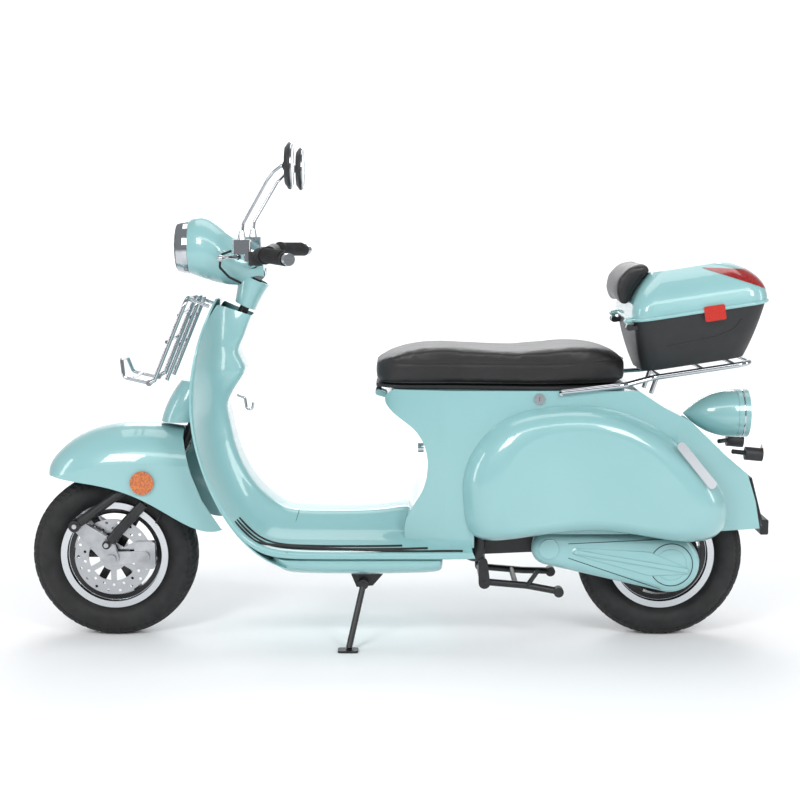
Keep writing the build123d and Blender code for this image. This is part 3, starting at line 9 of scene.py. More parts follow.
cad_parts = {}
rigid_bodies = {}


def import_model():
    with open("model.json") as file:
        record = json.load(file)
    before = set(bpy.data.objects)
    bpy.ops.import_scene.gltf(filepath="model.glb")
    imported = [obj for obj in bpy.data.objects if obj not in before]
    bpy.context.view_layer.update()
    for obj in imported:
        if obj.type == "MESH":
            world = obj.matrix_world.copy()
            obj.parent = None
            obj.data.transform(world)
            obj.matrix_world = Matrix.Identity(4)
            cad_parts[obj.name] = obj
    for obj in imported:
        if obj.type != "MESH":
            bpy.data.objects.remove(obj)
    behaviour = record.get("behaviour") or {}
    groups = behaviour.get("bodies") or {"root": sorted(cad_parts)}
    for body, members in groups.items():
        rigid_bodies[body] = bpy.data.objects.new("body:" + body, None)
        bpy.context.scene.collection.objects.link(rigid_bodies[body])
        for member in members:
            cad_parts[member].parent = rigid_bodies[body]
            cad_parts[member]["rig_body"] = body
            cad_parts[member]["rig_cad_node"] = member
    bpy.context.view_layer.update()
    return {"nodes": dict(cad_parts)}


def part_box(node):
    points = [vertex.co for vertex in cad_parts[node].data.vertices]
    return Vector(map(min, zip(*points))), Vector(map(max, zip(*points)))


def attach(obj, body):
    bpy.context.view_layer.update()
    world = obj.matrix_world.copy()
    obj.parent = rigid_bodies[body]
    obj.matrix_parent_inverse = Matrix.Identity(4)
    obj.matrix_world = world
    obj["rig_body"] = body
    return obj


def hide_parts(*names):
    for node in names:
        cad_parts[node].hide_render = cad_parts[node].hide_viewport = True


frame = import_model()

scene = bpy.context.scene
camera_data = bpy.data.cameras.new("side_camera")
camera_data.lens = 69.6
camera_data.sensor_width = 36.0
camera_data.clip_start = 0.1
camera_data.clip_end = 60.0
side_camera = bpy.data.objects.new("side_camera", camera_data)
scene.collection.objects.link(side_camera)
side_camera.location = (0.0, -4.0, 1.142)
aim = Vector((0.0, 0.0, 0.622))
side_camera.rotation_mode = "QUATERNION"
side_camera.rotation_quaternion = (aim - side_camera.location).to_track_quat("-Z", "Y")
scene.camera = side_camera

# ---------------------------------------------------------------- floor and light
# A white studio sweep under large soft boxes: one broad box over the
# camera, one overhead, and a tall strip at each end for the gloss.


def linear(code):
    """An sRGB hex colour as linear red, green, blue and full alpha."""
    parts = [int(code[i:i + 2], 16) / 255 for i in (1, 3, 5)]
    return [p / 12.92 if p <= 0.04045 else ((p + 0.055) / 1.055) ** 2.4 for p in parts] + [1.0]


def add(tree, kind, inputs=None, **settings):
    """Adds one shader node, sets its settings, and fills or links its inputs."""
    made = tree.nodes.new("ShaderNode" + kind)
    for name, value in settings.items():
        setattr(made, name, value)
    for key, value in (inputs or {}).items():
        if isinstance(value, bpy.types.NodeSocket):
            tree.links.new(value, made.inputs[key])
        else:
            made.inputs[key].default_value = value
    return made


def new_material(name):
    """An empty node material, with its tree and its output node."""
    material = bpy.data.materials.new(name)
    material.use_nodes = True
    material.node_tree.nodes.clear()
    return material, material.node_tree, add(material.node_tree, "OutputMaterial")


def link_mesh(name, mesh_source, smooth=True):
    """Turns a bmesh into an object with smooth shading."""
    mesh = bpy.data.meshes.new(name)
    mesh_source.to_mesh(mesh)
    mesh_source.free()
    if smooth:
        mesh.polygons.foreach_set("use_smooth", [True] * len(mesh.polygons))
    piece = bpy.data.objects.new(name, mesh)
    scene.collection.objects.link(piece)
    return piece


# matt white vinyl sweep: a faint mottle keeps it from being dead flat
vinyl_sweep, tree, output = new_material("matt_white_vinyl")
mottle = add(tree, "TexNoise", {"Scale": 1.5, "Detail": 2.0})
sweep_colour = add(tree, "ValToRGB", {"Fac": mottle.outputs["Fac"]})
sweep_colour.color_ramp.elements[0].color = linear("#F4F5F6")
sweep_colour.color_ramp.elements[1].color = linear("#FBFBFC")
shader = add(tree, "BsdfPrincipled", {"Base Color": sweep_colour.outputs["Color"], "Roughness": 0.85})
tree.links.new(shader.outputs["BSDF"], output.inputs["Surface"])

sweep_mesh = bmesh.new()
sweep_profile = [(-6.0, 0.0), (5.0, 0.0)]
for step in range(1, 9):
    turn = math.radians(90 * step / 8)
    sweep_profile.append((5.0 + 2.0 * math.sin(turn), 2.0 - 2.0 * math.cos(turn)))
sweep_profile.append((7.0, 7.0))
rows = []
for y, z in sweep_profile:
    rows.append([sweep_mesh.verts.new((x, y, z)) for x in (-12.0, 12.0)])
for near, far in zip(rows, rows[1:]):
    sweep_mesh.faces.new((near[0], near[1], far[1], far[0]))
studio_floor = link_mesh("studio_floor", sweep_mesh)
studio_floor.data.materials.append(vinyl_sweep)


def soft_box(name, place, target, size, power):
    """A rectangular studio lamp aimed at a point."""
    lamp = bpy.data.lights.new(name, "AREA")
    lamp.shape = "RECTANGLE"
    lamp.size, lamp.size_y = size
    lamp.energy = power
    holder = bpy.data.objects.new(name, lamp)
    holder.location = place
    holder.rotation_mode = "QUATERNION"
    holder.rotation_quaternion = (Vector(target) - Vector(place)).to_track_quat("-Z", "Y")
    scene.collection.objects.link(holder)
    return holder


soft_box("left_window", (-1.75, -3.3, 2.5), (-0.1, 0.0, 0.5), (1.1, 1.3), 54)
soft_box("right_window", (1.95, -3.3, 2.4), (0.3, 0.0, 0.5), (1.1, 1.3), 50)
soft_box("overhead_box", (0.0, 0.9, 4.2), (0.0, 0.0, 0.4), (3.6, 2.0), 46)
soft_box("nose_strip", (-4.2, -0.8, 1.4), (0.0, 0.0, 0.6), (0.6, 2.4), 26)
soft_box("tail_strip", (4.2, -1.0, 1.6), (0.0, 0.0, 0.6), (0.6, 2.4), 26)
soft_box("back_box", (0.0, 3.4, 3.0), (0.0, 0.0, 0.5), (3.4, 1.4), 55)
soft_box("wall_wash", (0.0, 2.6, 4.6), (0.0, 7.0, 2.6), (6.0, 1.0), 260)
soft_box("floor_wash", (0.0, -4.6, 4.4), (0.0, -1.6, 0.0), (5.0, 1.0), 60)

world = bpy.data.worlds.new("studio_air")
scene.world = world
world.use_nodes = True
world.node_tree.nodes.clear()
air = add(world.node_tree, "Background", {"Color": linear("#F2F5F8"), "Strength": 0.36})
add(world.node_tree, "OutputWorld", {"Surface": air.outputs["Background"]})
scene.view_settings.view_transform = "Standard"

# ---------------------------------------------------------------- frame, forks and stands
# Welded steel tube under everything: the main frame, the fork with its
# link arm shocks, the swingarm and both stands, all powder coated black.


def dress(material, *nodes):
    """Puts one finish on the whole of each CAD node."""
    for node in nodes:
        mesh = frame["nodes"][node].data
        mesh.materials.clear()
        mesh.materials.append(material)


# satin black powder coat on steel: a fine pebble left by the baked powder, with random patches rubbed a
# little lighter
powder_coat, tree, output = new_material("black_powder_coat_steel")
place = add(tree, "TexCoord")
pebble = add(tree, "TexNoise", {"Vector": place.outputs["Object"], "Scale": 650.0, "Detail": 2.0})
rub = add(tree, "TexNoise", {"Vector": place.outputs["Object"], "Scale": 38.0, "Detail": 5.0})
coat_colour = add(tree, "ValToRGB", {"Fac": rub.outputs["Fac"]})
coat_colour.color_ramp.elements[0].position = 0.35
coat_colour.color_ramp.elements[0].color = linear("#141516")
coat_colour.color_ramp.elements[1].position = 0.75
coat_colour.color_ramp.elements[1].color = linear("#232426")
coat_rough = add(tree, "MapRange", {"Value": rub.outputs["Fac"], "To Min": 0.34, "To Max": 0.52})
relief = add(tree, "Bump", {"Height": pebble.outputs["Fac"], "Strength": 0.25, "Distance": 0.0004})
shader = add(tree, "BsdfPrincipled", {
    "Base Color": coat_colour.outputs["Color"], "Roughness": coat_rough.outputs["Result"],
    "Normal": relief.outputs["Normal"], "Coat Weight": 0.15, "Coat Roughness": 0.3})
tree.links.new(shader.outputs["BSDF"], output.inputs["Surface"])
dress(powder_coat, "main_frame", "stand_brackets", "steering_fork", "front_shocks", "rear_shock",
      "swingarm", "side_stand", "centre_stand")

# ---------------------------------------------------------------- painted bodywork
# Pressed steel and moulded ABS panels: fender, leg shield, knee panel, floor,
# rear body, cowls, headset cover and box lid, sprayed and lacquered to match.

# two-coat aqua paint under clear lacquer: orange peel at about 2 mm under a
# mirror-like coat, and a slow drift of shade over a panel
aqua_paint, tree, output = new_material("lacquered_aqua_paint")
place = add(tree, "TexCoord")
drift = add(tree, "TexNoise", {"Vector": place.outputs["Object"], "Scale": 2.2, "Detail": 3.0})
paint_colour = add(tree, "ValToRGB", {"Fac": drift.outputs["Fac"]})
paint_colour.color_ramp.elements[0].position = 0.3
paint_colour.color_ramp.elements[0].color = linear("#88B8BA")
paint_colour.color_ramp.elements[1].position = 0.7
paint_colour.color_ramp.elements[1].color = linear("#90BFC1")
peel = add(tree, "TexNoise", {"Vector": place.outputs["Object"], "Scale": 420.0, "Detail": 1.0})
relief = add(tree, "Bump", {"Height": peel.outputs["Fac"], "Strength": 0.05, "Distance": 0.0003})
round_edge = add(tree, "Bevel", {"Radius": 0.0012, "Normal": relief.outputs["Normal"]}, samples=4)
paint_rough = add(tree, "MapRange", {"Value": drift.outputs["Fac"], "To Min": 0.30, "To Max": 0.38})
shader = add(tree, "BsdfPrincipled", {
    "Base Color": paint_colour.outputs["Color"], "Roughness": paint_rough.outputs["Result"],
    "Normal": round_edge.outputs["Normal"], "Coat Weight": 1.0, "Coat Roughness": 0.03,
    "Coat IOR": 1.5})
tree.links.new(shader.outputs["BSDF"], output.inputs["Surface"])
dress(aqua_paint, "leg_shield", "knee_panel", "horn_cover", "floor_panel", "belly_pan", "rear_body",
      "cowl_left", "cowl_right", "tail_lamp_housing", "front_fender", "headset_cover",
      "swingarm_cover", "topcase_lid")

# ---------------------------------------------------------------- bright work
# Handlebar, racks, rings, trims, mirror stems and levers: bent steel and
# cast zinc, nickelled and chromed.

# polished chrome plate: near mirror, broken only by faint polishing waves
# a few millimetres long
chrome_plate, tree, output = new_material("polished_chrome_plate")
place = add(tree, "TexCoord")
waves = add(tree, "TexNoise", {"Vector": place.outputs["Object"], "Scale": 160.0, "Detail": 3.0})
chrome_rough = add(tree, "MapRange", {"Value": waves.outputs["Fac"], "To Min": 0.04, "To Max": 0.13})
relief = add(tree, "Bump", {"Height": waves.outputs["Fac"], "Strength": 0.06, "Distance": 0.0004})
shader = add(tree, "BsdfPrincipled", {
    "Base Color": linear("#C3C7CB"), "Metallic": 1.0, "Roughness": chrome_rough.outputs["Result"],
    "Normal": relief.outputs["Normal"]})
tree.links.new(shader.outputs["BSDF"], output.inputs["Surface"])
dress(chrome_plate, "chrome_fittings", "rear_rack", "front_rack", "headlamp_rim", "handlebar",
      "master_cylinders", "mirror_stems", "brake_lever_left", "brake_lever_right", "rack_tray")

# ---------------------------------------------------------------- wheels, link arm and brake
# Cast alloy rims and hub motor, the cast link arm and caliper, and the
# drilled stainless disc.

# bead-blasted cast aluminium: a sandy skin of about 1 mm under silver lacquer
cast_alloy, tree, output = new_material("cast_aluminium_silver")
place = add(tree, "TexCoord")
sand = add(tree, "TexNoise", {"Vector": place.outputs["Object"], "Scale": 900.0, "Detail": 3.0})
grime = add(tree, "TexNoise", {"Vector": place.outputs["Object"], "Scale": 26.0, "Detail": 4.0})
alloy_colour = add(tree, "ValToRGB", {"Fac": grime.outputs["Fac"]})
alloy_colour.color_ramp.elements[0].position = 0.3
alloy_colour.color_ramp.elements[0].color = linear("#A9ABAE")
alloy_colour.color_ramp.elements[1].position = 0.65
alloy_colour.color_ramp.elements[1].color = linear("#C9CBCE")
alloy_rough = add(tree, "MapRange", {"Value": grime.outputs["Fac"], "To Min": 0.42, "To Max": 0.28})
relief = add(tree, "Bump", {"Height": sand.outputs["Fac"], "Strength": 0.2, "Distance": 0.0003})
shader = add(tree, "BsdfPrincipled", {
    "Base Color": alloy_colour.outputs["Color"], "Metallic": 1.0,
    "Roughness": alloy_rough.outputs["Result"], "Normal": relief.outputs["Normal"]})
tree.links.new(shader.outputs["BSDF"], output.inputs["Surface"])
dress(cast_alloy, "front_link", "brake_caliper")

# ground stainless steel: fine rings of about 0.5 mm turned round the axle
axle_x = -0.748
axle_z = 0.216
rear_axle_x = 0.682
ground_steel, tree, output = new_material("ground_stainless_disc")
place = add(tree, "TexCoord")
centred = add(tree, "VectorMath", {0: place.outputs["Object"], 1: (-axle_x, 0.0, -axle_z)}, operation="ADD")
flattened = add(tree, "VectorMath", {0: centred.outputs["Vector"], 1: (1.0, 0.0, 1.0)}, operation="MULTIPLY")
spread = add(tree, "VectorMath", {0: flattened.outputs["Vector"]}, operation="LENGTH")
ring_count = add(tree, "Math", {0: spread.outputs["Value"], 1: 2000.0}, operation="MULTIPLY")
rings = add(tree, "TexNoise", {"W": ring_count.outputs["Value"], "Scale": 1.0, "Detail": 2.0},
            noise_dimensions="1D")
disc_rough = add(tree, "MapRange", {"Value": rings.outputs["Fac"], "To Min": 0.2, "To Max": 0.36})
relief = add(tree, "Bump", {"Height": rings.outputs["Fac"], "Strength": 0.15, "Distance": 0.0003})
shader = add(tree, "BsdfPrincipled", {
    "Base Color": linear("#B9BBBE"), "Metallic": 1.0, "Roughness": disc_rough.outputs["Result"],
    "Normal": relief.outputs["Normal"]})
tree.links.new(shader.outputs["BSDF"], output.inputs["Surface"])
dress(ground_steel, "front_disc", "head_bearings")


def turned_rim(name, centre_x, bright_from):
    """Black painted alloy with its flange machined bright beyond a given radius."""
    material, tree, output = new_material(name)
    place = add(tree, "TexCoord")
    centred = add(tree, "VectorMath", {0: place.outputs["Object"], 1: (-centre_x, 0.0, -axle_z)},
                  operation="ADD")
    flattened = add(tree, "VectorMath", {0: centred.outputs["Vector"], 1: (1.0, 0.0, 1.0)},
                    operation="MULTIPLY")
    spread = add(tree, "VectorMath", {0: flattened.outputs["Vector"]}, operation="LENGTH")
    edge = add(tree, "MapRange", {"Value": spread.outputs["Value"], "From Min": bright_from - 0.0004,
                                  "From Max": bright_from + 0.0004})
    fleck = add(tree, "TexNoise", {"Vector": place.outputs["Object"], "Scale": 500.0, "Detail": 3.0})
    black = add(tree, "ValToRGB", {"Fac": fleck.outputs["Fac"]})
    black.color_ramp.elements[0].color = linear("#191A1C")
    black.color_ramp.elements[1].color = linear("#26282A")
    tone = add(tree, "Mix", {0: edge.outputs["Result"], 6: black.outputs["Color"], 7: linear("#CFD2D5")},
               data_type="RGBA")
    turned = add(tree, "MapRange", {"Value": fleck.outputs["Fac"], "To Min": 0.14, "To Max": 0.26})
    relief = add(tree, "Bump", {"Height": fleck.outputs["Fac"], "Strength": 0.1, "Distance": 0.0002})
    shader = add(tree, "BsdfPrincipled", {
        "Base Color": tone.outputs[2], "Metallic": edge.outputs["Result"],
        "Roughness": turned.outputs["Result"], "Normal": relief.outputs["Normal"]})
    tree.links.new(shader.outputs["BSDF"], output.inputs["Surface"])
    return material


# the well and spokes are gloss black, the flange is diamond turned
bright_flange = 0.1215
dress(turned_rim("turned_front_rim", axle_x, bright_flange), "front_rim")
dress(turned_rim("turned_rear_hub", rear_axle_x, bright_flange), "hub_motor")

# ---------------------------------------------------------------- tyres, grips and rubber
# Two tubeless road tyres, moulded handlebar grips, floor strips and brake
# hoses, all black rubber.

# cured tyre rubber: dusty matt black with a fine mould grain
tyre_rubber, tree, output = new_material("cured_tyre_rubber")
place = add(tree, "TexCoord")
dust = add(tree, "TexNoise", {"Vector": place.outputs["Object"], "Scale": 30.0, "Detail": 6.0})
rubber_colour = add(tree, "ValToRGB", {"Fac": dust.outputs["Fac"]})
rubber_colour.color_ramp.elements[0].position = 0.35
rubber_colour.color_ramp.elements[0].color = linear("#161617")
rubber_colour.color_ramp.elements[1].position = 0.75
rubber_colour.color_ramp.elements[1].color = linear("#262627")
grain = add(tree, "TexNoise", {"Vector": place.outputs["Object"], "Scale": 800.0, "Detail": 2.0})
relief = add(tree, "Bump", {"Height": grain.outputs["Fac"], "Strength": 0.25, "Distance": 0.0004})
shader = add(tree, "BsdfPrincipled", {
    "Base Color": rubber_colour.outputs["Color"], "Roughness": 0.68,
    "Normal": relief.outputs["Normal"]})
tree.links.new(shader.outputs["BSDF"], output.inputs["Surface"])
dress(tyre_rubber, "front_tyre", "rear_tyre", "floor_strips", "brake_hoses", "left_grip",
      "throttle_grip")

# ---------------------------------------------------------------- moulded plastic
# Battery cover, mudguard, seat pan, switch clusters, mirror backs,
# indicators and the box base: black ABS and polypropylene.

# spark-textured black ABS: a leathery mould grain about 1.5 mm across
black_abs, tree, output = new_material("spark_textured_black_abs")
place = add(tree, "TexCoord")
cells = add(tree, "TexVoronoi", {"Vector": place.outputs["Object"], "Scale": 620.0}, feature="SMOOTH_F1")
haze = add(tree, "TexNoise", {"Vector": place.outputs["Object"], "Scale": 24.0, "Detail": 4.0})
abs_colour = add(tree, "ValToRGB", {"Fac": haze.outputs["Fac"]})
abs_colour.color_ramp.elements[0].color = linear("#1A1B1C")
abs_colour.color_ramp.elements[1].color = linear("#28292B")
relief = add(tree, "Bump", {"Height": cells.outputs["Distance"], "Strength": 0.35, "Distance": 0.0005})
shader = add(tree, "BsdfPrincipled", {
    "Base Color": abs_colour.outputs["Color"], "Roughness": 0.48, "Normal": relief.outputs["Normal"]})
tree.links.new(shader.outputs["BSDF"], output.inputs["Surface"])
dress(black_abs, "battery_and_controller", "rear_mudguard", "topcase_base", "rear_indicators",
      "control_clusters", "seat_pan", "mirror_head_left", "mirror_head_right")

# ---------------------------------------------------------------- lenses and red fittings
# Clear, red and amber lamp lenses and reflectors, with the red latches and
# buttons, moulded in tinted acrylic and ABS.

# clear acrylic headlamp glass with moulded flutes about 9 mm apart; its pale grey base colour is a painted
# reflection of the bright bowl behind it
clear_lens, tree, output = new_material("fluted_clear_acrylic")
place = add(tree, "TexCoord")
flutes = add(tree, "TexWave", {"Vector": place.outputs["Object"], "Scale": 36.0, "Distortion": 0.0},
             bands_direction="Y")
relief = add(tree, "Bump", {"Height": flutes.outputs["Fac"], "Strength": 0.6, "Distance": 0.0015})
shader = add(tree, "BsdfPrincipled", {
    "Base Color": linear("#E6EAEC"), "Roughness": 0.06, "IOR": 1.49, "Transmission Weight": 0.35,
    "Normal": relief.outputs["Normal"]})
tree.links.new(shader.outputs["BSDF"], output.inputs["Surface"])
dress(clear_lens, "headlamp_lens")


def tinted_acrylic(name, dark, bright, prism_scale):
    """A coloured reflector moulding: bright prism cells under a flat gloss face."""
    material, tree, output = new_material(name)
    place = add(tree, "TexCoord")
    prisms = add(tree, "TexVoronoi", {"Vector": place.outputs["Object"], "Scale": prism_scale})
    tint = add(tree, "ValToRGB", {"Fac": prisms.outputs["Distance"]})
    tint.color_ramp.elements[0].color = linear(bright)
    tint.color_ramp.elements[1].position = 0.8
    tint.color_ramp.elements[1].color = linear(dark)
    relief = add(tree, "Bump", {"Height": prisms.outputs["Distance"], "Strength": 0.3, "Distance": 0.0005})
    shader = add(tree, "BsdfPrincipled", {
        "Base Color": tint.outputs["Color"], "Roughness": 0.16, "Normal": relief.outputs["Normal"],
        "Coat Weight": 1.0, "Coat Roughness": 0.03})
    tree.links.new(shader.outputs["BSDF"], output.inputs["Surface"])
    return material


# prism cells 4 mm apart in the reflectors and tail lens, 2 mm in the latches
red_acrylic = tinted_acrylic("prismatic_red_acrylic", "#7A0C0C", "#C41E1A", 250.0)
amber_acrylic = tinted_acrylic("prismatic_amber_acrylic", "#A34708", "#E8801C", 250.0)
red_abs = tinted_acrylic("moulded_red_abs", "#B02318", "#D6382A", 500.0)
dress(red_acrylic, "tail_lamp_lens")
dress(amber_acrylic, "fender_reflectors")
dress(red_abs, "latch_left", "latch_right", "horn_button", "start_button")

# ---------------------------------------------------------------- tyres
# Tubeless 3.50-10 road tyres, moulded with chevron grooves over the shoulders and a centre groove.
tyre_radius = 0.216
steps_round = 540
tread_edge = 0.196


def tread_depth(turn, across):
    """How deep the tread is cut at an angle and a place across the tyre, in metres."""
    side = 1 if across > 0 else -1
    reach = abs(across)
    if reach < 0.0018:
        return 0.0035
    if reach < 0.005 or reach > 0.0405:
        return 0.0
    pitch = math.radians(10.0)
    lean = (reach - 0.005) * 4.6
    phase = ((turn + lean + (0.5 * pitch if side > 0 else 0.0)) % pitch) / pitch
    cut = 1.0 if phase < 0.20 else 0.0
    short = 1.0 if 0.52 < phase < 0.66 and reach > 0.022 else 0.0
    return 0.0042 * max(cut, short)


def make_tyre(name, axle, node, body):
    """A revolved tyre skin with its tread cut in."""
    outline = []
    for step in range(12):
        rise = step / 11
        outline.append((0.0285 + 0.004 * rise + 0.0060 * math.sin(rise * 1.5708), 0.1440 + 0.0010 * step))
    for step in range(9):
        bend = math.radians(-62 + 118 * step / 8)
        outline.append((0.0215 + 0.0245 * math.cos(bend), 0.1735 + 0.0300 * math.sin(bend) + 0.0015))
    shoulder = [(0.0362, 0.2035), (0.0335, 0.2058), (0.0305, 0.2080), (0.0275, 0.2101), (0.0245, 0.2122),
                (0.0215, 0.2139), (0.0185, 0.2150), (0.0155, 0.2156), (0.0125, 0.2159)]
    outline += shoulder
    outline += [(y, tyre_radius) for y in (0.0095, 0.0065, 0.0035, 0.0019, 0.0012, 0.0)]
    ring = outline + [(-y, r) for y, r in reversed(outline[:-1])]
    ring = [(0.0240, 0.1290)] + ring + [(-0.0240, 0.1290)]
    skin = bmesh.new()
    loops = []
    for part in range(steps_round):
        turn = 2 * math.pi * part / steps_round
        loop = []
        for y, r in ring:
            low = r - (tread_depth(turn, y) if r > tread_edge else 0.0)
            loop.append(skin.verts.new((axle + low * math.cos(turn), y, tyre_radius + low * math.sin(turn))))
        loops.append(loop)
    for part in range(steps_round):
        here, there = loops[part], loops[(part + 1) % steps_round]
        for i in range(len(ring) - 1):
            skin.faces.new((here[i], here[i + 1], there[i + 1], there[i]))
    bmesh.ops.recalc_face_normals(skin, faces=skin.faces)
    tyre = link_mesh(name, skin)
    tyre.data.materials.append(tyre_rubber)
    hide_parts(node)
    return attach(tyre, body)


make_tyre("front_road_tyre", axle_x, "front_tyre", "front_wheel")
make_tyre("rear_road_tyre", rear_axle_x, "rear_tyre", "rear_wheel")

# ---------------------------------------------------------------- seat
# A long two-up saddle: moulded foam on a plastic pan under a black
# leatherette cover, with a stitched top panel and a rolled lower hem.

# calendered PVC leatherette: a pebble grain about 1.6 mm across, with a soft
# sheen that goes shinier where it is rubbed
leatherette, tree, output = new_material("grained_pvc_leatherette")
place = add(tree, "TexCoord")
pebbles = add(tree, "TexVoronoi", {"Vector": place.outputs["Object"], "Scale": 600.0, "Randomness": 0.9},
              feature="DISTANCE_TO_EDGE")
wear = add(tree, "TexNoise", {"Vector": place.outputs["Object"], "Scale": 9.0, "Detail": 4.0})
hide_colour = add(tree, "ValToRGB", {"Fac": wear.outputs["Fac"]})
hide_colour.color_ramp.elements[0].position = 0.35
hide_colour.color_ramp.elements[0].color = linear("#191819")
hide_colour.color_ramp.elements[1].position = 0.7
hide_colour.color_ramp.elements[1].color = linear("#232123")
hide_rough = add(tree, "MapRange", {"Value": wear.outputs["Fac"], "To Min": 0.50, "To Max": 0.34})
relief = add(tree, "Bump", {"Height": pebbles.outputs["Distance"], "Strength": 0.35, "Distance": 0.0006})
shader = add(tree, "BsdfPrincipled", {
    "Base Color": hide_colour.outputs["Color"], "Roughness": hide_rough.outputs["Result"],
    "Normal": relief.outputs["Normal"], "Sheen Weight": 0.12, "Sheen Roughness": 0.4})
tree.links.new(shader.outputs["BSDF"], output.inputs["Surface"])


def bake_modifiers(piece):
    """Applies every modifier, so the piece keeps a plain mesh."""
    bpy.context.view_layer.update()
    graph = bpy.context.evaluated_depsgraph_get()
    baked = bpy.data.meshes.new_from_object(piece.evaluated_get(graph))
    piece.modifiers.clear()
    piece.data = baked


def foam_pad(name, node, inset, lift, voxel, cap):
    """A cushion grown from its foam block: remeshed, inflated as cloth, capped and smoothed."""
    pad = frame["nodes"][node].copy()
    pad.data = frame["nodes"][node].data.copy()
    pad.name = name
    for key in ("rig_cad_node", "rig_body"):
        if key in pad:
            del pad[key]
    pad.parent = None
    scene.collection.objects.link(pad)
    low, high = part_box(node)
    middle = (low + high) / 2
    size = high - low
    for v in pad.data.vertices:
        away = v.co - middle
        for axis in range(3):
            v.co[axis] -= inset[axis] * away[axis] / (size[axis] / 2)
        v.co.z += lift
    remesh = pad.modifiers.new("even_mesh", "REMESH")
    remesh.mode = "VOXEL"
    remesh.voxel_size = voxel
    bake_modifiers(pad)
    before = [v.co.copy() for v in pad.data.vertices]
    cloth = pad.modifiers.new("inflate", "CLOTH")
    cloth.settings.use_pressure = True
    cloth.settings.uniform_pressure_force = 4.0
    cloth.settings.effector_weights.gravity = 0.0
    cloth.settings.quality = 5
    cloth.point_cache.frame_start = 1
    cloth.point_cache.frame_end = 20
    for step in range(1, 21):
        scene.frame_set(step)
    bake_modifiers(pad)
    for v, start in zip(pad.data.vertices, before):
        move = v.co - start
        if move.length > cap:
            v.co = start + move * (cap / move.length)
    scene.frame_set(1)
    settle = pad.modifiers.new("settle_cover", "SMOOTH")
    settle.factor = 0.5
    settle.iterations = 10
    bake_modifiers(pad)
    mesh = pad.data
    mesh.polygons.foreach_set("use_smooth", [True] * len(mesh.polygons))
    mesh.materials.clear()
    mesh.materials.append(leatherette)
    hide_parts(node)
    return pad


seat_cushion = foam_pad("saddle_cushion", "seat_cushion", (0.004, 0.006, 0.005), -0.003, 0.006, 0.007)
seat_low, seat_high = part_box("seat_cushion")


def top_line(x):
    """Height of the stitched edge of the top panel along the seat."""
    along = (x - seat_low.x) / (seat_high.x - seat_low.x)
    return 0.7285 + 0.010 * max(0.0, (along - 0.62) / 0.38) ** 1.4


# the panel seam is pulled in 2 mm, and the flank below it pulls in towards
# the pan while the top stays crowned
for v in seat_cushion.data.vertices:
    level = (v.co.z - 0.674) / 0.092
    along = (v.co.x - seat_low.x) / (seat_high.x - seat_low.x)
    if level < 0.30:
        tuck = (0.30 - level) / 0.30
        v.co.y *= 1 - 0.055 * tuck * tuck
        if along < 0.2:
            v.co.x += 0.006 * tuck * tuck
    to_seam = abs(v.co.z - top_line(v.co.x))
    if to_seam < 0.008 and level > 0.3:
        pull = 0.0024 * (1 - to_seam / 0.008) ** 2
        v.co.y -= math.copysign(pull, v.co.y)
seat_cushion.data.update()
smooth = seat_cushion.modifiers.new("finer_mesh", "SUBSURF")
smooth.levels = smooth.render_levels = 1
bake_modifiers(seat_cushion)
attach(seat_cushion, "seat")


def round_skin(piece, height):
    """Points round a cushion at a height that may change along it."""
    tree = BVHTree.FromPolygons([v.co for v in piece.data.vertices],
                                [p.vertices[:] for p in piece.data.polygons])
    low = Vector([min(v.co[i] for v in piece.data.vertices) for i in range(3)])
    high = Vector([max(v.co[i] for v in piece.data.vertices) for i in range(3)])
    centre = (low + high) / 2
    found = []
    for step in range(220):
        turn = 2 * math.pi * step / 220
        way = Vector((math.cos(turn), math.sin(turn) * 0.32, 0)).normalized()
        x = centre.x + math.cos(turn) * (high.x - low.x) / 2
        start = Vector((centre.x + math.cos(turn) * 0.30 * (high.x - low.x), 0.0, height(x)))
        hit = tree.ray_cast(start + way * 2.0, -way)[0]
        if hit is not None:
            found.append(Vector((hit.x, hit.y, height(hit.x))))
    return found


def sewn_bead(name, points, radius, material, body):
    """A closed round bead along a seam."""
    data = bpy.data.curves.new(name, "CURVE")
    data.dimensions = "3D"
    data.bevel_depth = radius
    data.bevel_resolution = 3
    line = data.splines.new("NURBS")
    line.points.add(len(points) - 1)
    for point, place in zip(line.points, points):
        point.co = (place.x, place.y, place.z, 1.0)
    line.order_u = 3
    line.use_cyclic_u = True
    bead = bpy.data.objects.new(name, data)
    scene.collection.objects.link(bead)
    data.materials.append(material)
    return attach(bead, body)


# folded seam of the top panel, a fine ridge of doubled cover, and the rolled
# hem round the pan
hem_height = 0.6800
sewn_bead("saddle_panel_seam", round_skin(seat_cushion, top_line), 0.0011, leatherette, "seat")
sewn_bead("saddle_lower_hem", round_skin(seat_cushion, lambda x: hem_height), 0.0022, leatherette, "seat")

# ---------------------------------------------------------------- backrest
# A padded back pad on the front of the box lid: thin foam under the same
# leatherette, wrapped over a moulded plate.
back_pad = foam_pad("lid_back_pad", "topcase_backrest", (0.001, 0.003, 0.002), 0.0, 0.005, 0.006)
smooth = back_pad.modifiers.new("finer_mesh", "SUBSURF")
smooth.levels = smooth.render_levels = 1
bake_modifiers(back_pad)
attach(back_pad, "topcase_lid")

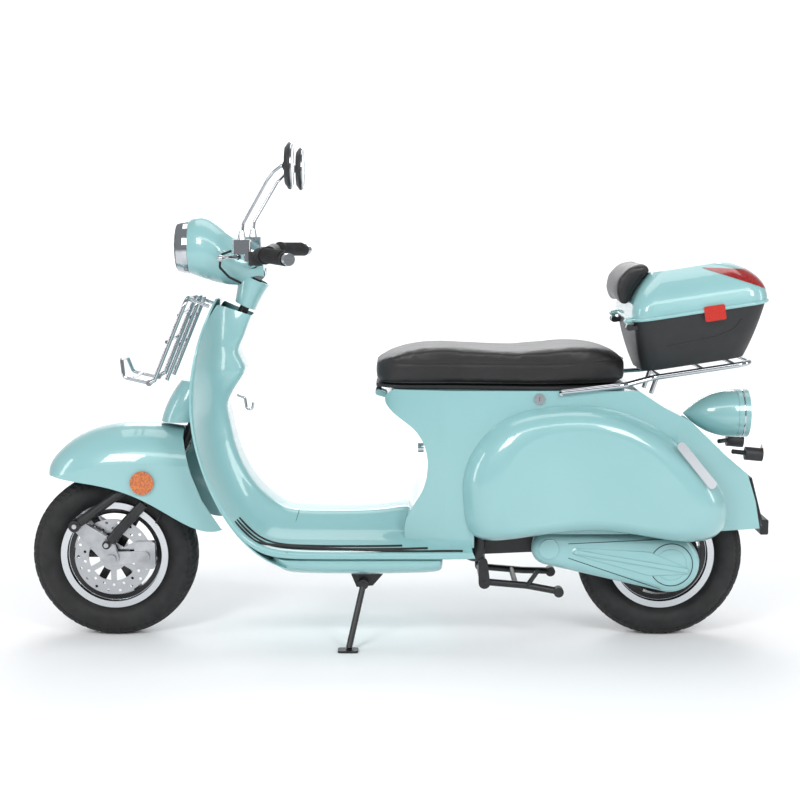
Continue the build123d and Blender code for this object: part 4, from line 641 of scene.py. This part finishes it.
# ---------------------------------------------------------------- step-through panel
# One moulded ABS panel runs from the steering head down the knees, over the
# tunnel and out to the sill lip; its underside is closed by a belly tray.
# Each station gives the centre line, the flat half of the crown, the outer
# edge and the foot of the lip, all in millimetres.
panel_stations = [
    # crown x, crown z, flat half, edge x, edge z, edge y, lip x, lip z
    (-381, 846, 46, -462, 876, 82, -466, 872), (-393, 815, 50, -482, 842, 128, -487, 838),
    (-401, 790, 54, -493, 810, 160, -498, 806), (-417, 757, 58, -500, 776, 186, -505, 773),
    (-411, 742, 58, -503, 748, 194, -508, 746), (-397, 718, 58, -506, 718, 202, -511, 717),
    (-398, 700, 58, -509, 694, 207, -514, 693), (-412, 679, 60, -511, 666, 209, -517, 665),
    (-432, 650, 62, -512, 640, 210, -518, 639), (-445, 620, 62, -512, 610, 210, -518, 609),
    (-442, 592, 62, -510, 578, 210, -516, 576), (-432, 550, 62, -505, 535, 208, -511, 532),
    (-424, 508, 62, -495, 492, 205, -500, 488), (-402, 453, 62, -476, 440, 200, -481, 434),
    (-371, 405, 60, -450, 383, 196, -454, 375), (-339, 376, 58, -420, 334, 193, -424, 322),
    (-308, 354, 56, -388, 297, 190, -390, 281), (-282, 344, 54, -348, 271, 188, -349, 252),
    (-255, 341, 52, -300, 259, 187, -300, 240), (-180, 340, 50, -200, 256, 187, -200, 239),
    (-90, 340, 50, -95, 256, 187, -95, 239), (-30, 345, 50, -30, 256, 187, -30, 239),
    (10, 353, 50, 5, 256, 187, 5, 239), (42, 352, 62, 35, 256, 187, 35, 239),
    (72, 322, 104, 70, 256, 187, 70, 239), (104, 308, 134, 110, 256, 187, 110, 239),
    (160, 305, 138, 158, 256, 186, 162, 239), (172, 305, 138, 184, 256, 184, 190, 240)]
# share of the way from crown to edge, and share of the drop, across the panel
across = [(0.10, 0.20), (0.20, 0.40), (0.34, 0.60), (0.54, 0.77), (0.76, 0.90), (0.92, 0.975), (1.0, 1.0)]


def half_section(station):
    """Points from the crown out over the edge to just under the lip, on the right-hand side."""
    cx, cz, flat, ex, ez, ey, lx, lz = station
    section = [(cx, 0.0, cz + 1.0), (cx, flat * 0.55, cz), (cx, flat, cz - 0.03 * (cz - ez))]
    for reach, drop in across:
        section.append((cx + (ex - cx) * drop, flat + (ey - flat) * reach, cz + (ez - cz) * drop))
    section.append((lx, ey + 2.0, (ez * 0.3 + lz * 0.7)))
    section.append((lx, ey - 2.0, lz))
    section.append((lx, ey - 16.0, lz + 2.0))
    return [Vector(p) / 1000 for p in section]


def lofted(name, sections, material, levels, closed_ends):
    """A mirrored skin through half sections, smoothed by subdivision."""
    skin = bmesh.new()
    rows = []
    for half in sections:
        full = [(p.x, -p.y, p.z) for p in reversed(half)] + [tuple(p) for p in half[1:]]
        rows.append([skin.verts.new(p) for p in full])
    for here, there in zip(rows, rows[1:]):
        for i in range(len(here) - 1):
            skin.faces.new((here[i], here[i + 1], there[i + 1], there[i]))
    if closed_ends:
        skin.faces.new(rows[0])
        skin.faces.new(list(reversed(rows[-1])))
    bmesh.ops.recalc_face_normals(skin, faces=skin.faces)
    piece = link_mesh(name, skin)
    finer = piece.modifiers.new("finer_mesh", "SUBSURF")
    finer.levels = finer.render_levels = levels
    bake_modifiers(piece)
    piece.data.materials.clear()
    piece.data.materials.append(material)
    return piece


panel_sections = [half_section(s) for s in panel_stations]
step_panel = lofted("step_through_panel", panel_sections, aqua_paint, 2, False)
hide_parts("knee_panel", "floor_panel")
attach(step_panel, "chassis")

# each station of the tray, in millimetres: how far along, top, half width, bottom
tray_bottom = 184.0
tray_stations = [(-330, 252, 150, 236), (-318, 247, 170, 229), (-296, 238, 178, 214), (-270, 238, 179, 208),
                 (-120, 238, 179, 206), (60, 238, 179, 208), (100, 238, 178, 212), (112, 238, 174, 220)]
tray_sections = []
for x, top, wide, low in tray_stations:
    ring = [(0, low - 20), (wide * 0.62, low - 20), (wide * 0.84, low - 12), (wide - 6, low),
            (wide, low + 12), (wide, top - 2), (wide - 12, top)]
    tray_sections.append([Vector((x, y, max(z, tray_bottom))) / 1000 for y, z in ring])
belly_tray = lofted("belly_tray", tray_sections, aqua_paint, 2, True)
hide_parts("belly_pan")
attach(belly_tray, "chassis")


def panel_line(across_y, first_x, last_x, lift):
    """Points on the panel at a given distance from the middle, between two places along it."""
    found = []
    for section in panel_sections:
        for inner, outer in zip(section, section[1:9]):
            if inner.y <= across_y <= outer.y and outer.y > inner.y:
                share = (across_y - inner.y) / (outer.y - inner.y)
                point = inner.lerp(outer, share)
                if first_x <= point.x <= last_x:
                    found.append(point + Vector((0.0, 0.0, lift)))
                break
    return found


def round_line(name, points, radius, material, body, cyclic=False):
    """A smooth round bead, wire or strip through the given points."""
    data = bpy.data.curves.new(name, "CURVE")
    data.dimensions = "3D"
    data.bevel_depth = radius
    data.bevel_resolution = 3
    data.use_fill_caps = True
    line = data.splines.new("NURBS")
    line.points.add(len(points) - 1)
    for point, place in zip(line.points, points):
        point.co = (place[0], place[1], place[2], 1.0)
    line.order_u = 3
    line.use_cyclic_u = cyclic
    line.use_endpoint_u = not cyclic
    bead = bpy.data.objects.new(name, data)
    scene.collection.objects.link(bead)
    data.materials.append(material)
    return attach(bead, body)


# extruded black rubber strips pressed into grooves along both boards, the
# outer ones longest
strip_count = 0
for across_y, rear in ((0.150, 0.012), (0.164, 0.090), (0.177, 0.165)):
    for side in (-1, 1):
        route = panel_line(across_y, -0.436 + (0.177 - across_y) * 0.3, rear, 0.0005)
        route = [Vector((p.x, side * p.y, p.z)) for p in route]
        strip = round_line(f"floor_strip_{strip_count}", route, 0.0033, tyre_rubber, "chassis")
        if strip_count == 0:
            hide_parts("floor_strips")
        strip_count += 1

# shut line where the panel meets the shield trim
# the gap is drawn as a thin dark teal line of painted shade, standing for the shadow in the seam, with a
# faint random mottle
painted_shade_line, tree, output = new_material("shadowed_panel_gap")
place = add(tree, "TexCoord")
shade_mottle = add(tree, "TexNoise", {"Vector": place.outputs["Object"], "Scale": 90.0, "Detail": 3.0})
gap_shade_colour = add(tree, "ValToRGB", {"Fac": shade_mottle.outputs["Fac"]})
gap_shade_colour.color_ramp.elements[0].color = linear("#1E3133")
gap_shade_colour.color_ramp.elements[1].color = linear("#2C4547")
shader = add(tree, "BsdfPrincipled", {"Base Color": gap_shade_colour.outputs["Color"], "Roughness": 0.8})
tree.links.new(shader.outputs["BSDF"], output.inputs["Surface"])
front_cut = half_section((-262, 341, 53, -285, 258, 187, -285, 240))[:10]
front_cut = [Vector((p.x, -p.y, p.z)) for p in reversed(front_cut)] + front_cut[1:]
round_line("floor_shut_line", front_cut, 0.0009, painted_shade_line, "chassis")

# ---------------------------------------------------------------- swingarm cover
# A moulded, painted shell over the left arm: a long pear outline with a
# round boss at the pivot and a pointed raised spear over the hub.
cover_small = (0.381, 0.254, 0.044)
cover_large = (0.694, 0.213, 0.075)
cover_face_y = -0.1285


def pear_ring(inset, y):
    """Points round two circles and the straight flanks between them."""
    (x1, z1, r1), (x2, z2, r2) = cover_small, cover_large
    span = math.hypot(x2 - x1, z2 - z1)
    heading = math.atan2(z2 - z1, x2 - x1)
    spread = math.acos((r1 - r2) / span)
    ring = []
    for step in range(49):
        turn = heading + spread - 2 * spread * step / 48
        ring.append((x2 + (r2 - inset) * math.cos(turn), y, z2 + (r2 - inset) * math.sin(turn)))
    for step in range(33):
        turn = heading - spread - (2 * math.pi - 2 * spread) * step / 32
        ring.append((x1 + (r1 - inset) * math.cos(turn), y, z1 + (r1 - inset) * math.sin(turn)))
    return ring


skin = bmesh.new()
rings = []
for inset, y in ((0.004, -0.084), (0.0005, -0.086), (0.0, -0.100), (0.0, -0.112), (0.0015, -0.1165),
                 (0.005, -0.1195), (0.012, cover_face_y + 0.0006), (0.024, cover_face_y),
                 (0.040, cover_face_y - 0.0002)):
    rings.append([skin.verts.new(p) for p in pear_ring(inset, y)])
count = len(rings[0])
for here, there in zip(rings, rings[1:]):
    for i in range(count):
        skin.faces.new((here[i], here[(i + 1) % count], there[(i + 1) % count], there[i]))
skin.faces.new(list(reversed(rings[-1])))
bmesh.ops.recalc_face_normals(skin, faces=skin.faces)
arm_cover = link_mesh("arm_cover_shell", skin)
arm_cover.data.materials.append(aqua_paint)
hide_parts("swingarm_cover")
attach(arm_cover, "swingarm")


def raised_plate(name, outline, y_low, y_high, chamfer, material, body):
    """A low plate with chamfered edges, standing out to the left from y_low to y_high."""
    centre = sum((Vector((x, 0.0, z)) for x, z in outline), Vector()) / len(outline)
    skin = bmesh.new()
    rings = []
    for y, inset in ((y_low, 0.0), (y_high + chamfer * 0.4, 0.0), (y_high, chamfer)):
        ring = []
        for x, z in outline:
            away = Vector((x, 0, z)) - centre
            away = away * (1 - inset / max(away.length, 1e-6))
            ring.append(skin.verts.new((centre.x + away.x, y, centre.z + away.z)))
        rings.append(ring)
    for here, there in zip(rings, rings[1:]):
        for i in range(len(here)):
            skin.faces.new((here[i], here[(i + 1) % len(here)], there[(i + 1) % len(here)], there[i]))
    skin.faces.new(rings[-1])
    bmesh.ops.recalc_face_normals(skin, faces=skin.faces)
    plate = link_mesh(name, skin, smooth=False)
    plate.data.materials.append(material)
    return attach(plate, body)


def circle_points(x, z, radius):
    """Points on a circle in the side view."""
    turns = [math.radians(7.5 * i) for i in range(48)]
    return [(x + radius * math.cos(turn), z + radius * math.sin(turn)) for turn in turns]


raised_plate("cover_pivot_boss", circle_points(0.381, 0.254, 0.026), cover_face_y + 0.001,
             cover_face_y - 0.0022, 0.0015, aqua_paint, "swingarm")
spear = [(0.439, 0.250), (0.447, 0.257), (0.560, 0.252), (0.640, 0.247), (0.735, 0.205), (0.738, 0.196),
         (0.735, 0.188), (0.640, 0.184), (0.447, 0.240), (0.440, 0.244)]
raised_plate("cover_spear", spear, cover_face_y + 0.001, cover_face_y - 0.0028, 0.004, aqua_paint,
             "swingarm")
rib = [(0.447, 0.2535), (0.738, 0.2035), (0.737, 0.192), (0.446, 0.2435)]
raised_plate("cover_rib", rib, cover_face_y - 0.002, cover_face_y - 0.0062, 0.003, aqua_paint, "swingarm")
# the inner ring is a raised bead in the paint; the outer ring is a dark line of painted shade standing for a
# groove round it
for number, radius in enumerate((0.040, 0.055)):
    arc = [Vector((x, cover_face_y - 0.0004, z)) for x, z in circle_points(0.694, 0.213, radius)]
    finish = painted_shade_line if number else aqua_paint
    round_line(f"cover_ring_{number}", arc, 0.0011, finish, "swingarm", cyclic=True)
# the two creases are dark lines of painted shade drawn on the shell, not cut into it
crease_ends = (((0.430, 0.268), (0.700, 0.281)), ((0.430, 0.231), (0.668, 0.149)))
for number, ((x1, z1), (x2, z2)) in enumerate(crease_ends):
    line = [Vector((x1 + (x2 - x1) * k / 4, cover_face_y - 0.0002, z1 + (z2 - z1) * k / 4)) for k in range(5)]
    round_line(f"cover_crease_shade_{number}", line, 0.0009, painted_shade_line, "swingarm")

# ---------------------------------------------------------------- box lid trim
# The lid is an ABS moulding with a rolled lip all round and a red reflector
# strip let into its rear edge.


def node_loop(node, point, normal):
    """The longest outline that a plane cuts from a CAD node, in order."""
    cutter = bmesh.new()
    cutter.from_mesh(frame["nodes"][node].data)
    bmesh.ops.remove_doubles(cutter, verts=cutter.verts, dist=1e-5)
    cut = bmesh.ops.bisect_plane(cutter, geom=cutter.verts[:] + cutter.edges[:] + cutter.faces[:],
                                 plane_co=point, plane_no=normal, clear_inner=True, clear_outer=True)
    edges = [g for g in cut["geom_cut"] if isinstance(g, bmesh.types.BMEdge)]
    loops = []
    left = dict.fromkeys(edges)
    while left:
        edge = next(iter(left))
        del left[edge]
        chain = [edge.verts[0], edge.verts[1]]
        going = True
        while going:
            going = False
            for option in chain[-1].link_edges:
                if option in left:
                    del left[option]
                    chain.append(option.other_vert(chain[-1]))
                    going = True
                    break
        loops.append([v.co.copy() for v in chain])
    cutter.free()
    return max(loops, key=lambda loop: sum((a - b).length for a, b in zip(loop, loop[1:])))


def evenly(points, count):
    """The same closed outline with evenly spaced points."""
    closed = points + [points[0]]
    lengths = [0.0]
    for a, b in zip(closed, closed[1:]):
        lengths.append(lengths[-1] + (b - a).length)
    spaced = []
    index = 0
    for k in range(count):
        want = lengths[-1] * k / count
        while lengths[index + 1] < want:
            index += 1
        share = (want - lengths[index]) / max(lengths[index + 1] - lengths[index], 1e-9)
        spaced.append(closed[index].lerp(closed[index + 1], share))
    return spaced


# the box leans back on its rack, and the lip runs round just above the joint
slope = math.radians(8.7)
case_up = Vector((-math.sin(slope), 0.0, math.cos(slope)))
case_origin = Vector((0.584, 0.0, 0.838))
lip_outline = evenly(node_loop("topcase_lid", case_origin + case_up * 0.006, case_up), 160)
lip = round_line("lid_rolled_lip", [p - case_up * 0.002 for p in lip_outline], 0.0048, aqua_paint,
                 "topcase_lid", cyclic=True)

# the reflector is a wedge of the lid's own skin, cut out and stood off 0.9 mm
strip_skin = bmesh.new()
strip_skin.from_mesh(frame["nodes"]["topcase_lid"].data)
tip = Vector((0.752, 0.0, 0.972))
upper = (Vector((0.880, 0.0, 0.968)) - tip).normalized()
lower = (Vector((0.893, 0.0, 0.926)) - tip).normalized()
for direction, keep_below in ((upper, True), (lower, False)):
    normal = Vector((-direction.z, 0.0, direction.x))
    bmesh.ops.bisect_plane(strip_skin, geom=strip_skin.verts[:] + strip_skin.edges[:] + strip_skin.faces[:],
                           plane_co=tip, plane_no=normal, clear_outer=keep_below, clear_inner=not keep_below)
bmesh.ops.bisect_plane(strip_skin, geom=strip_skin.verts[:] + strip_skin.edges[:] + strip_skin.faces[:],
                       plane_co=tip + Vector((0.004, 0, 0)), plane_no=(1, 0, 0), clear_inner=True)
bmesh.ops.remove_doubles(strip_skin, verts=strip_skin.verts, dist=1e-5)
inside_lid = Vector((0.74, 0.0, 0.86))
inner_faces = [f for f in strip_skin.faces if f.normal.dot(f.calc_center_median() - inside_lid) <= 0]
bmesh.ops.delete(strip_skin, geom=inner_faces, context="FACES")
strip_skin.normal_update()
for v in strip_skin.verts:
    v.co += v.normal * 0.0009
lid_reflector = link_mesh("lid_reflector_strip", strip_skin)
lid_reflector.data.materials.append(red_acrylic)
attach(lid_reflector, "topcase_lid")

# ---------------------------------------------------------------- box base details
# The base is spark-textured ABS with a raised sweep on each flank.
base_mesh = frame["nodes"]["topcase_base"].data
base_tree = BVHTree.FromPolygons([v.co for v in base_mesh.vertices],
                                 [p.vertices[:] for p in base_mesh.polygons])
sweep = [(0.668, 0.776), (0.72, 0.786), (0.77, 0.797), (0.815, 0.812), (0.838, 0.828), (0.845, 0.846)]
for name, side in (("base_sweep_left", -1), ("base_sweep_right", 1)):
    from_outside = []
    for x, z in sweep:
        hit = base_tree.ray_cast(Vector((x, side * 1.0, z)), Vector((0, -side, 0)))[0]
        if hit is not None:
            from_outside.append(hit)
    ridge = round_line(name, from_outside, 0.0022, black_abs, "chassis")

# ---------------------------------------------------------------- lamp rims and mirror glass
# Pressed brass rims, chromed: one round the tail lamp, one round each mirror
# glass. The glass is silvered behind and slightly convex.


def ring_points(centre, normal, radius, steps=48):
    """Points on a circle about any axis."""
    axis = Vector(normal).normalized()
    side = axis.orthogonal().normalized()
    other = axis.cross(side)
    return [Vector(centre) + side * radius * math.cos(2 * math.pi * k / steps)
            + other * radius * math.sin(2 * math.pi * k / steps) for k in range(steps)]


tail_rim = round_line("tail_lamp_rim", ring_points((0.889, 0.0, 0.588), (1, 0, 0), 0.0585), 0.0052,
                      chrome_plate, "chassis", cyclic=True)

# silvered convex glass: a clean mirror with a breath of dust
mirror_silver, tree, output = new_material("silvered_mirror_glass")
place = add(tree, "TexCoord")
breath = add(tree, "TexNoise", {"Vector": place.outputs["Object"], "Scale": 45.0, "Detail": 4.0})
silver_rough = add(tree, "MapRange", {"Value": breath.outputs["Fac"], "To Min": 0.01, "To Max": 0.05})
shader = add(tree, "BsdfPrincipled", {
    "Base Color": linear("#DDE1E3"), "Metallic": 1.0, "Roughness": silver_rough.outputs["Result"]})
tree.links.new(shader.outputs["BSDF"], output.inputs["Surface"])


def dished_disc(name, centre, normal, radius, rise, material, body):
    """A round disc that swells by its rise in the middle."""
    axis = Vector(normal).normalized()
    side = axis.orthogonal().normalized()
    other = axis.cross(side)
    skin = bmesh.new()
    rings = []
    for ring in range(1, 9):
        reach = radius * ring / 8
        lift = rise * (1 - (ring / 8) ** 2)
        turns = [2 * math.pi * k / 64 for k in range(64)]
        rings.append([skin.verts.new(Vector(centre) + axis * lift + side * reach * math.cos(turn)
                                     + other * reach * math.sin(turn)) for turn in turns])
    middle = skin.verts.new(Vector(centre) + axis * rise)
    for k in range(64):
        skin.faces.new((middle, rings[0][k], rings[0][(k + 1) % 64]))
    for here, there in zip(rings, rings[1:]):
        for k in range(64):
            skin.faces.new((here[k], there[k], there[(k + 1) % 64], here[(k + 1) % 64]))
    disc = link_mesh(name, skin)
    disc.data.materials.append(material)
    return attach(disc, body)


for name, side in (("mirror_left", -1), ("mirror_right", 1)):
    glass_place = (-0.2612, side * 0.208, 1.222)
    glass = dished_disc(name + "_glass", glass_place, (1, 0, 0), 0.0525, 0.0016, mirror_silver, name)
    rim = round_line(name + "_rim", ring_points((-0.2625, side * 0.208, 1.222), (1, 0, 0), 0.0545), 0.0028,
                     chrome_plate, name, cyclic=True)

# ---------------------------------------------------------------- headlamp inside
# A round prismatic glass, slightly domed, with one chromed bulb shield in the middle.
lens_dome = dished_disc("headlamp_glass", (-0.5735, 0.0, 1.019), (-1, 0, 0), 0.0565, 0.0075, clear_lens,
                        "fork")
bulb_cap = dished_disc("headlamp_bulb_shield", (-0.5745, 0.0, 1.019), (-1, 0, 0), 0.013, 0.0085,
                       chrome_plate, "fork")

# ---------------------------------------------------------------- rider's details
# Ribbed rubber grips, and the amber lenses that close the rear indicator
# barrels. The ribs are moulded with the grip, the lenses pressed in.


def long_axis(points):
    """The middle of a slender part and the direction it runs in."""
    low = Vector([min(p[i] for p in points) for i in range(3)])
    high = Vector([max(p[i] for p in points) for i in range(3)])
    middle = (low + high) / 2
    far = max(points, key=lambda p: (p - middle).length)
    axis = (far - middle).normalized()
    for _ in range(20):
        axis = sum(((p - middle).dot(axis) * (p - middle) for p in points), Vector()).normalized()
    return middle, axis


grip_radius = 0.017
rib_radius = 0.0018
for name, node, body in (("grip_ribs_left", "left_grip", "fork"),
                         ("grip_ribs_right", "throttle_grip", "throttle")):
    cloud = [v.co.copy() for v in frame["nodes"][node].data.vertices]
    middle, axis = long_axis(cloud)
    reach = max(abs((p - middle).dot(axis)) for p in cloud)
    ribs = bmesh.new()
    for k in range(15):
        centre = middle + axis * reach * (-0.75 + 1.5 * k / 14)
        rows = []
        for p in ring_points(centre, axis, grip_radius - 0.0006, 32):
            out = (p - centre).normalized()
            turns = [math.pi * i / 4 for i in range(8)]
            rows.append([ribs.verts.new(p + rib_radius * (out * math.cos(turn) + axis * math.sin(turn)))
                         for turn in turns])
        for here, there in zip(rows, rows[1:] + rows[:1]):
            for i in range(8):
                ribs.faces.new((here[i], here[(i + 1) % 8], there[(i + 1) % 8], there[i]))
    grip_ribs = link_mesh(name, ribs)
    grip_ribs.data.materials.append(tyre_rubber)
    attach(grip_ribs, body)

barrel_ends = [v.co.copy() for v in frame["nodes"]["rear_indicators"].data.vertices]
last_x = max(p.x for p in barrel_ends)
for side, sign in (("left", -1), ("right", 1)):
    end = [p for p in barrel_ends if p.y * sign > 0 and p.x > last_x - 0.002]
    centre = sum(end, Vector()) / len(end)
    reach = max((p - centre).length for p in end)
    lens = dished_disc("indicator_lens_" + side, centre + Vector((-0.0015, 0, 0)), (1, 0, 0), reach * 0.9,
                       0.0013, amber_acrylic, "chassis")
